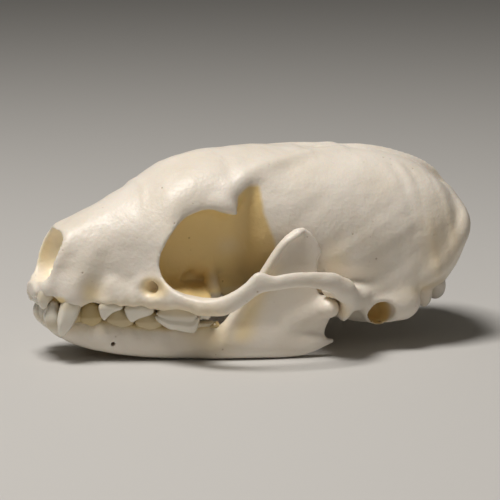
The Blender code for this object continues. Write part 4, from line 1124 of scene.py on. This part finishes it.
CONDYLE = (
    (CONDYLE_X, -19.1, CONDYLE_Z, 1.75, 1.75),
    (CONDYLE_X, -16.4, CONDYLE_Z, 1.7, 1.7),
    (CONDYLE_X, -11.4, CONDYLE_Z, 1.4, 1.4),
)
CONDYLE_NECK = ((8.2, -17.4, 9.4, 1.5, 1.4), (5.6, -16.8, 8.0, 1.6, 0.9), (2.0, -15.8, 6.2, 1.6, 0.7))
MENTAL_FORAMEN = ((-29.7, -10.0, 3.3, 0.4, 0.4), (-29.0, -6.0, 3.3, 0.4, 0.4))
MUSCLE_HOLLOW = ((-0.6, -20.3, 10.6), (5.8, 3.1, 6.6), 0.0, 35.0)
MIDDLE_BOX = ((-44.0, -0.15, -2.0), (14.0, 2.0, 27.0))


def plate(outline, middle, thickness):
    """Flat bone with an outline in x and z and a rounded edge: the gap to its middle sheet, which lies half
    a thickness inside the outline, less half the thickness. middle gives the sheet's y at x and z."""
    points = np.array(outline, np.float32)
    low = (points[:, 0].min(), DENTARY_BOX[0][1], points[:, 1].min())
    high = (points[:, 0].max(), 0.0, points[:, 1].max())

    def gap(x, y, z):
        px, pz = np.broadcast_arrays(x[:, 0, :], z[:, 0, :])
        near = np.full(px.shape, FAR_OFF, np.float32)
        inside = np.zeros(px.shape, bool)
        for (x0, z0), (x1, z1) in zip(points, np.roll(points, -1, axis=0)):
            ex, ez = x1 - x0, z1 - z0
            share = np.clip(((px - x0) * ex + (pz - z0) * ez) / (ex * ex + ez * ez), 0.0, 1.0)
            near = np.minimum(near, np.hypot(px - x0 - share * ex, pz - z0 - share * ez))
            if z0 != z1:
                crosses = ((z0 > pz) != (z1 > pz)) & (px < ex * (pz - z0) / ez + x0)
                inside ^= crosses
        flat = np.where(inside, -near, near)[:, None, :]
        edge = np.maximum(flat + thickness / 2, 0.0)
        return np.sqrt(edge**2 + (y - middle(x, z)) ** 2) - thickness / 2

    return low, high, gap


RAMUS_ENDS = (-12.0, 9.0)
RAMUS_PLACES = (-13.2, -16.6)
RAMUS_LEAN = 0.06
RAMUS_LEVEL = 5.0


def ramus_middle(x, z):
    """The plate's y at its level: further out towards the back, and leaning out towards the top."""
    return np.interp(x, RAMUS_ENDS, RAMUS_PLACES).astype(np.float32) - RAMUS_LEAN * (z - RAMUS_LEVEL)


def right_half():
    """All that lies past the joint of the two halves: the gap to an upright plane."""

    def gap(x, y, z):
        return MIDDLE_BOX[0][1] - y

    return *MIDDLE_BOX, gap


def dentary_bone():
    """The left half's field: its body, plate and cross bar are blended together, and the muscle's hollow,
    the nerve's hole and the joint with the other half are cut."""
    bone = Bone(*DENTARY_BOX, DENTARY_STEP)
    bone.join(body(JAW_ROWS), blend=0.6)
    bone.join(plate(RAMUS_OUTLINE, ramus_middle, RAMUS_THICKNESS), blend=1.6)
    bone.join(bar(RAMUS_EDGE, up=(1, 0, 0)), blend=1.0)
    bone.join(bar(CONDYLE, steps=2), blend=1.0)
    bone.carve(ball(*MUSCLE_HOLLOW), blend=1.8)
    bone.join(bar(CONDYLE_NECK, steps=2), blend=1.8)
    bone.carve(bar(MENTAL_FORAMEN, steps=1), blend=0.2)
    bone.carve(right_half(), blend=0.2)
    return bone


DENTARY_WAVES = ((0.07, 5.0, 11), (0.03, 1.8, 12))
LOWER_ROOTS = (-34.0, -31.6, -29.2, -26.4, -24.1, -21.2, -18.4, -13.6)
LOWER_ROOT_HEIGHT = 6.2
LOWER_ROOT_SWELLING = 0.28
FOOT_EDGE = (0.2, 1.2)


def dentary_relief(p):
    """Broad unevenness, and low swellings over the roots of the cheek teeth. The lower edge stays even,
    because the skull stands on it."""
    x, y, z = p.T
    lift = waves(p, DENTARY_WAVES)
    for root in LOWER_ROOTS:
        lift += LOWER_ROOT_SWELLING * patch(x, z, (root, LOWER_ROOT_HEIGHT), ROOT_RADII)
    return lift * ramp(z, *FOOT_EDGE)


# Painted shade on the lower jaw: tan and brown by enclosure, and tan where shade falls on its inner side,
# between the teeth, at the gum, by the plate's front edge and below the arch.
JAW_WIDE_REACH = 2.6
JAW_WIDE_TAN = (0.52, 0.8)
JAW_TIGHT_REACH = 1.2
JAW_TIGHT_BROWN = (0.7, 0.95)
JAW_TEETH_END = (-10.0, -14.0)
INNER_FACING = (0.2, 0.7)
INNER_FOOT = (3.0, 6.0)
INNER_BACK = (-6.0, -12.0)
BETWEEN_TEETH = (5.0, 5.8)
JAW_GUM = (4.4, 7.0)
PLATE_FACING = (0.6, 0.95)
PLATE_HEIGHTS = (2.0, 5.0, 14.0, 20.0)
PLATE_SIDE = (13.6, 14.2)
PLATE_FRONT = ((2.0, 6.5, 12.0, 18.0), (-7.8, -6.4, -4.6, -1.4))
PLATE_SHADE = 2.2
ARCH_SHADE = ((-12.5, 4.6), (4.5, 3.4))


def dentary_marks(bone, points, normal):
    """How tan and how brown each spot is painted as shade. Besides by what stands near it, a spot gets tan
    painted shade on the inner side, between the teeth and at the gum, behind the plate's front edge, and
    below the arch."""
    x, y, z = points.T
    enclosed = ramp(bone.closeness(points, normal, JAW_WIDE_REACH), *JAW_WIDE_TAN)
    inner = ramp(normal[:, 1], *INNER_FACING) * ramp(z, *INNER_FOOT) * ramp(x, *INNER_BACK)
    along_teeth = ramp(x, *JAW_TEETH_END)
    between = ramp(normal[:, 2], 0.3, 0.8) * ramp(z, *BETWEEN_TEETH) * along_teeth
    gum = ramp(z, *JAW_GUM) * along_teeth
    shaded = np.exp(-(((x - np.interp(z, *PLATE_FRONT)) / PLATE_SHADE) ** 2))
    shaded *= ramp(-normal[:, 1], *PLATE_FACING) * band(z, *PLATE_HEIGHTS) * ramp(-y, *PLATE_SIDE)
    below_arch = patch(x, z, *ARCH_SHADE)
    tan_shade_places = [enclosed, 0.7 * inner, 0.7 * between, 0.6 * shaded, 0.45 * below_arch, 0.3 * gum]
    deep = ramp(bone.closeness(points, normal, JAW_TIGHT_REACH), *JAW_TIGHT_BROWN)
    return {"tan_shade": np.maximum.reduce(tan_shade_places), "deep": deep}


bone = dentary_bone()
points, quads, normal = bone.skin()
marks = dentary_marks(bone, points, normal)
points = points + normal * dentary_relief(points)[:, None]
for side, flip in (("left", 1), ("right", -1)):
    there = points * (1.0, flip, 1.0)
    dentary = make_piece(f"dentary_bone_{side}", there, quads[:, ::flip], dry_bone, marks)
    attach(dentary, "root")
    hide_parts(f"dentary_{side}")


# Teeth
# Each tooth is enamel over a root that is sunk in its socket. The canines are curved cones, the incisors
# small chisels and the cheek teeth blades and low grinders, all harder, greyer and glossier than the bone.

ENAMEL = (0.80, 0.755, 0.66)
NECK_STAIN_AND_SHADE = (0.60, 0.47, 0.24)
ENAMEL_ROUGHNESS = 0.24
ENAMEL_COAT = 0.3
ENAMEL_COAT_ROUGHNESS = 0.12
ENAMEL_GLOW = 0.15
ENAMEL_GLOW_RADIUS = (1.0, 0.7, 0.5)
ENAMEL_GLOW_SCALE = 0.001


def enamel_material():
    """Pale enamel, yellower towards the neck, and painted tan as shade on the lower cheek teeth, with a thin
    clear gloss over it.
    """
    material, tree, shader = new_material("enamel", ENAMEL_ROUGHNESS)
    link = tree.links.new
    mark = tree.nodes.new("ShaderNodeAttribute")
    mark.attribute_name = "neck"
    mix = tree.nodes.new("ShaderNodeMix")
    mix.data_type = "RGBA"
    mix.inputs["A"].default_value = (*ENAMEL, 1.0)
    mix.inputs["B"].default_value = (*NECK_STAIN_AND_SHADE, 1.0)
    link(mark.outputs["Fac"], mix.inputs["Factor"])
    link(mix.outputs["Result"], shader.inputs["Base Color"])
    shader.inputs["Coat Weight"].default_value = ENAMEL_COAT
    shader.inputs["Coat Roughness"].default_value = ENAMEL_COAT_ROUGHNESS
    set_glow(shader, ENAMEL_GLOW, ENAMEL_GLOW_RADIUS, ENAMEL_GLOW_SCALE)
    return material


AROUND = 40
NECK_DARKNESS = 0.35
NECK_STAIN_TOP = 0.35
NECK_STAIN_FOOT = -0.1
TIP_TURNS = (25.0, 50.0, 70.0, 84.0)
FACETS = 5
FACET_DEPTH = 0.045
FACET_START = 0.8

# A crown's rings, from its root to its point. In a wall each holds its share of the crown's breadth and of
# its height, below the gum where it is negative. The root's depths are in millimetres.

ROOT_RINGS = ((0.5, -1.5), (0.66, -0.8))
PLAIN_WALL = ((0.9, -0.06), (0.965, 0.06), (0.99, 0.14), (1.0, 0.22))
BANDED_WALL = (
    (0.84, -0.06), (0.94, 0.08), (0.95, 0.2),
    (0.86, 0.36), (0.88, 0.46), (0.99, 0.58), (1.0, 0.66),
)
CAP_RINGS = (0.98, 0.94, 0.88, 0.80, 0.71, 0.61, 0.50, 0.38, 0.26, 0.14, 0.04)
CAP_LEAST = 0.06
CAP_BULGE = 0.04
CAP_EDGE = 24


def closed_rings(rings):
    """Points and quads over a row of rings. Both ends are closed by quads straight across the last ring."""
    count, around = rings.shape[:2]
    number = np.arange(count * around).reshape(count, around)
    turn = np.roll(number, -1, axis=1)
    quads = [np.stack([number[:-1], turn[:-1], turn[1:], number[1:]], axis=2).reshape(-1, 4)]
    step = np.arange(around // 2 - 1)
    across = np.stack([step, step + 1, around - 2 - step, around - 1 - step], axis=1)
    quads.append(number[0][across][:, ::-1])
    quads.append(number[-1][across])
    points, quads = rings.reshape(-1, 3), np.vstack(quads)
    a, b, c, d = (points[quads[:, k]] for k in range(4))
    volume = (a * (np.cross(b, c) + np.cross(c, d))).sum()
    return points, quads if volume > 0 else quads[:, ::-1]


def oval(around, square):
    """Cosine and sine around a circle, pushed towards a square as square passes 2."""
    angle = (np.arange(around) + 0.5) / around * 2 * math.pi
    c, s = np.cos(angle), np.sin(angle)
    power = 2.0 / square
    return np.sign(c) * np.abs(c) ** power, np.sign(s) * np.abs(s) ** power


def tusk(rows, neck, square=2.3):
    """Curved cone along a path whose rows hold x, y, z, half depth and half width. It is a rounded oval with
    faint facets, swept along and closed to a blunt tip by a quarter circle of shrinking rings. neck is its
    gum's height."""
    table = smooth_rows(rows, 8).astype(float)
    path = table[:, :3]
    along = np.gradient(path, axis=0)
    along /= np.linalg.norm(along, axis=1, keepdims=True)
    side = np.cross(along, (1.0, 0.0, 0.0))
    side /= np.linalg.norm(side, axis=1, keepdims=True)
    deep = np.cross(side, along)
    c, s = oval(AROUND, square)
    angle = (np.arange(AROUND) + 0.5) / AROUND * 2 * math.pi
    facet = 1.0 + FACET_DEPTH * np.cos(FACETS * angle + FACET_START)
    rings = (
        path[:, None]
        + deep[:, None] * (table[:, 3, None] * c * facet)[..., None]
        + side[:, None] * (table[:, 4, None] * s * facet)[..., None]
    )
    last, tip = rings[-1], []
    for turn in np.radians(TIP_TURNS):
        middle = path[-1] + along[-1] * table[-1, 3] * math.sin(turn)
        tip.append(middle + (last - path[-1]) * math.cos(turn))
    rings = np.concatenate([rings, np.array(tip)])
    stain = NECK_DARKNESS * ramp(np.abs(rings[..., 2] - neck), 1.8, 0.2)
    return *closed_rings(rings), stain.ravel()


def crown(
    x, y, gum, length, width, height, profile,
    turn=0.0, square=2.4, blunt=1.0, up=False, painted_shade=0.0, banded=False,
):
    """Cheek tooth. A wall rises from the root over a swollen collar, then a cap closes it. The cap's height
    follows the profile along the tooth, pairs of share of length and share of height, and falls off to
    the collar across it as 1 - |v|^(1 + blunt), where v is the share of the half width there. One argument
    gives painted shade: how tan the whole crown is painted, besides its neck stain. A banded crown has a
    groove along its wall, and its collar stays near the cutting edge."""
    c, s = oval(AROUND, square)
    shares = np.array(profile, float)
    dense = smooth_rows(np.c_[shares, np.zeros(len(shares))], 6)
    wall = BANDED_WALL if banded else PLAIN_WALL
    follow = np.interp((c + 1) / 2, dense[:, 0], dense[:, 1]) if banded else np.ones(AROUND)
    rings = [(share * c, share * s, np.full(AROUND, rise)) for share, rise in ROOT_RINGS]
    rings += [(share * c, share * s, rise * height * follow) for share, rise in wall]
    collar = rings[-1][2]
    for rho in CAP_RINGS:
        u, v = rho * c, rho * s
        room = np.maximum(1.0 - np.abs(u) ** square, TINY) ** (1 / square)
        blade = height * np.interp((u + 1) / 2, dense[:, 0], dense[:, 1])
        fall = 1.0 - np.clip(np.abs(v) / room, 0.0, 1.0) ** (1.0 + blunt)
        edge = 1.0 - rho**CAP_EDGE
        rise = np.maximum(blade - collar, CAP_LEAST * height) * fall + CAP_BULGE * height
        rings.append((u, v, collar + rise * edge))
    table = np.array(rings)
    u, v, rise = table[:, 0] * length / 2, table[:, 1] * width / 2, table[:, 2]
    ct, st = math.cos(math.radians(turn)), math.sin(math.radians(turn))
    way = 1.0 if up else -1.0
    rings = np.stack([x + ct * u - st * v, y + st * u + ct * v, gum + way * rise], axis=2)
    stain = NECK_DARKNESS * ramp(rise, NECK_STAIN_TOP * height, NECK_STAIN_FOOT)
    # The neck mark holds the real neck stain and the crown's painted shade, whichever is more.
    return *closed_rings(rings), np.maximum(stain, painted_shade).ravel()


def tooth_row(name, teeth, node_names):
    """One piece from the teeth of the left side and their mirror images."""
    points, quads, stain, count = [], [], [], 0
    for flip in (1, -1):
        for p, q, t in teeth:
            points.append(p * (1.0, flip, 1.0))
            quads.append(q[:, ::flip] + count)
            stain.append(t)
            count += len(p)
    piece = make_piece(name, np.vstack(points), np.vstack(quads), enamel, {"neck": np.concatenate(stain)})
    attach(piece, "root")
    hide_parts(*node_names)


enamel = enamel_material()

UPPER_CANINE = (
    (-34.8, -5.7, 14.8, 1.7, 1.35),
    (-35.7, -6.1, 13.0, 1.8, 1.4),
    (-36.5, -6.4, 11.5, 1.85, 1.45),
    (-37.25, -6.6, 9.6, 1.8, 1.4),
    (-37.85, -6.6, 8.0, 1.55, 1.25),
    (-38.2, -6.45, 6.8, 1.2, 1.0),
    (-38.45, -6.3, 5.9, 0.75, 0.65),
)
LOWER_CANINE = (
    (-37.0, -2.9, 5.2, 1.4, 1.2),
    (-38.3, -3.3, 6.6, 1.8, 1.5),
    (-39.3, -3.5, 8.0, 1.9, 1.55),
    (-39.5, -3.5, 9.3, 1.35, 1.2),
    (-39.25, -3.5, 10.4, 0.85, 0.75),
)
SIDE_INCISOR = (
    (-39.8, -3.0, 14.4, 1.2, 1.0),
    (-40.5, -3.5, 12.9, 1.5, 1.2),
    (-41.1, -3.7, 11.7, 1.25, 1.1),
    (-41.2, -3.7, 10.8, 0.85, 0.8),
)
FORE_BLADE = (
    (0.0, 0.35),
    (0.08, 0.72),
    (0.17, 0.95),
    (0.26, 1.0),
    (0.4, 0.76),
    (0.6, 0.5),
    (0.8, 0.38),
    (1.0, 0.26),
)
LONG_BLADE = (
    (0.0, 0.32),
    (0.08, 0.66),
    (0.18, 0.93),
    (0.28, 1.0),
    (0.42, 0.84),
    (0.6, 0.7),
    (0.8, 0.58),
    (1.0, 0.4),
)
TALL_BLADE = ((0.0, 0.42), (0.16, 0.62), (0.42, 1.0), (0.62, 0.7), (0.82, 0.52), (1.0, 0.4))
FLESH_BLADE = (
    (0.0, 0.34),
    (0.08, 0.46),
    (0.17, 0.6),
    (0.27, 0.74),
    (0.36, 0.82),
    (0.45, 0.82),
    (0.58, 0.88),
    (0.76, 0.96),
    (0.87, 0.97),
    (0.94, 0.8),
    (1.0, 0.45),
)
LOWER_FLESH = (
    (0.0, 0.3),
    (0.12, 0.72),
    (0.24, 0.86),
    (0.33, 0.68),
    (0.45, 1.0),
    (0.56, 0.75),
    (0.68, 0.34),
    (1.0, 0.3),
)
LOW_DOME = ((0.0, 0.4), (0.25, 0.85), (0.5, 0.8), (0.75, 0.9), (1.0, 0.4))
ROUND_DOME = ((0.0, 0.5), (0.2, 0.85), (0.5, 1.0), (0.8, 0.85), (1.0, 0.5))
CHISEL = ((0.0, 0.8), (0.2, 0.98), (0.5, 1.0), (0.8, 0.98), (1.0, 0.8))

# A crown's first numbers are its x and y, its gum's height, and its length, width and height.

upper_teeth = [
    crown(-41.5, -0.75, 12.4, 1.5, 1.3, 2.1, CHISEL, turn=90.0, square=2.8, blunt=1.2),
    crown(-41.2, -2.1, 12.4, 1.4, 1.4, 2.2, CHISEL, turn=75.0, square=2.8, blunt=1.2),
    tusk(SIDE_INCISOR, 12.4),
    tusk(UPPER_CANINE, 11.2),
    crown(-29.9, -8.4, 10.9, 4.5, 2.4, 2.8, FORE_BLADE, turn=-14.0, blunt=1.6, square=2.6),
    crown(-24.9, -9.8, 10.5, 5.5, 2.7, 2.9, LONG_BLADE, turn=-19.0, blunt=1.6, square=2.6),
    crown(-18.6, -12.6, 9.4, 8.2, 3.1, 3.7, FLESH_BLADE, turn=-25.0, blunt=1.6, square=2.8, banded=True),
    crown(-20.6, -7.2, 9.8, 1.9, 1.9, 1.1, LOW_DOME),
    crown(-13.6, -12.3, 9.4, 3.4, 3.8, 1.9, LOW_DOME, blunt=1.5),
    crown(-13.2, -9.2, 9.6, 4.4, 4.4, 1.4, LOW_DOME, blunt=1.5),
]
tooth_row("upper_teeth", upper_teeth, ["rostrum"])

# The lower cheek teeth are painted tan as shade, where the upper teeth and upper jaw shade them.
lower_teeth = [
    crown(-40.2, -0.5, 8.0, 1.0, 1.2, 2.3, CHISEL, turn=90.0, blunt=1.0, up=True),
    crown(-40.0, -1.6, 7.8, 1.2, 1.4, 2.5, CHISEL, turn=75.0, blunt=1.0, up=True),
    tusk(LOWER_CANINE, 7.0),
    crown(-35.4, -4.6, 7.8, 3.0, 1.8, 2.7, LOW_DOME, turn=-20.0, up=True, painted_shade=1.0),
    crown(-32.9, -5.7, 7.6, 4.2, 2.2, 3.2, ROUND_DOME, turn=-20.0, blunt=0.9, up=True, painted_shade=1.0),
    crown(-27.7, -6.8, 7.0, 5.4, 2.5, 3.5, TALL_BLADE, turn=-20.0, blunt=0.9, up=True, painted_shade=0.8),
    crown(-22.6, -8.3, 6.5, 5.4, 2.7, 3.5, TALL_BLADE, turn=-20.0, blunt=0.9, up=True, painted_shade=0.8),
    crown(-15.6, -10.3, 6.2, 9.4, 2.9, 2.9, LOWER_FLESH, turn=-20.0, blunt=0.6, up=True, painted_shade=0.5),
    crown(-11.3, -11.9, 6.1, 2.2, 2.2, 1.0, LOW_DOME, turn=-20.0, blunt=1.5, up=True, painted_shade=1.0),
]
tooth_row("lower_teeth", lower_teeth, ["dentary_left", "dentary_right"])


# Floor, light and camera
# The skull lies on a plain pale floor, which is no part of it. A large soft lamp above the nose and a weak
# one at its left side light it, and the camera stands where the photo was taken from.

FLOOR_SIZE = 3000.0
FLOOR_DROP = 0.02
FLOOR_COLOUR = (0.56, 0.55, 0.53, 1.0)
FLOOR_ROUGHNESS = 0.8

corners = np.array([[-1, -1], [1, -1], [1, 1], [-1, 1]]) * FLOOR_SIZE / 2
corners = np.c_[corners, np.full(4, -FLOOR_DROP)]
pale_floor, _, shader = new_material("pale_floor", FLOOR_ROUGHNESS)
shader.inputs["Base Color"].default_value = FLOOR_COLOUR
floor = make_piece("floor", corners, np.array([[0, 1, 2, 3]]), pale_floor)

WORLD_COLOUR = (1.0, 0.95, 0.84, 1.0)
WORLD_STRENGTH = 0.06

world = bpy.data.worlds.new("studio")
bpy.context.scene.world = world
world.use_nodes = True
background = world.node_tree.nodes["Background"]
background.inputs["Color"].default_value = WORLD_COLOUR
background.inputs["Strength"].default_value = WORLD_STRENGTH
bpy.context.scene.view_settings.view_transform = "Standard"

LIT_POINT = (0.0, 0.0, 0.018)


def soft_light(name, place, size, power, colour):
    """A square area light that faces the skull."""
    light = bpy.data.lights.new(name, "AREA")
    light.size = size
    light.energy = power
    light.color = colour
    lamp = bpy.data.objects.new(name, light)
    lamp.location = place
    lamp.rotation_euler = (Vector(place) - Vector(LIT_POINT)).to_track_quat("Z", "Y").to_euler()
    bpy.context.scene.collection.objects.link(lamp)


soft_light("key", place=(-0.18, -0.05, 0.60), size=0.22, power=3.75, colour=(1.0, 0.962, 0.922))
soft_light("fill", place=(-0.30, -0.62, 0.34), size=0.4, power=0.15, colour=(1.0, 0.95, 0.86))

CAMERA_AZIMUTH = -20.0
CAMERA_ELEVATION = 11.0
CAMERA_DISTANCE = 0.45
CAMERA_TARGET = (0.0, 0.0, 0.0174)
FIELD_WIDTH = 0.094
SENSOR = 36.0

lens = bpy.data.cameras.new("camera")
lens.sensor_width = SENSOR
lens.lens = SENSOR * CAMERA_DISTANCE / FIELD_WIDTH
lens.clip_start = 0.01
camera = bpy.data.objects.new("camera", lens)
azimuth, elevation = math.radians(CAMERA_AZIMUTH), math.radians(CAMERA_ELEVATION)
level = math.cos(elevation)
away = Vector((math.sin(azimuth) * level, -math.cos(azimuth) * level, math.sin(elevation)))
camera.location = Vector(CAMERA_TARGET) + away * CAMERA_DISTANCE
camera.rotation_euler = away.to_track_quat("Z", "Y").to_euler()
bpy.context.scene.collection.objects.link(camera)
bpy.context.scene.camera = camera
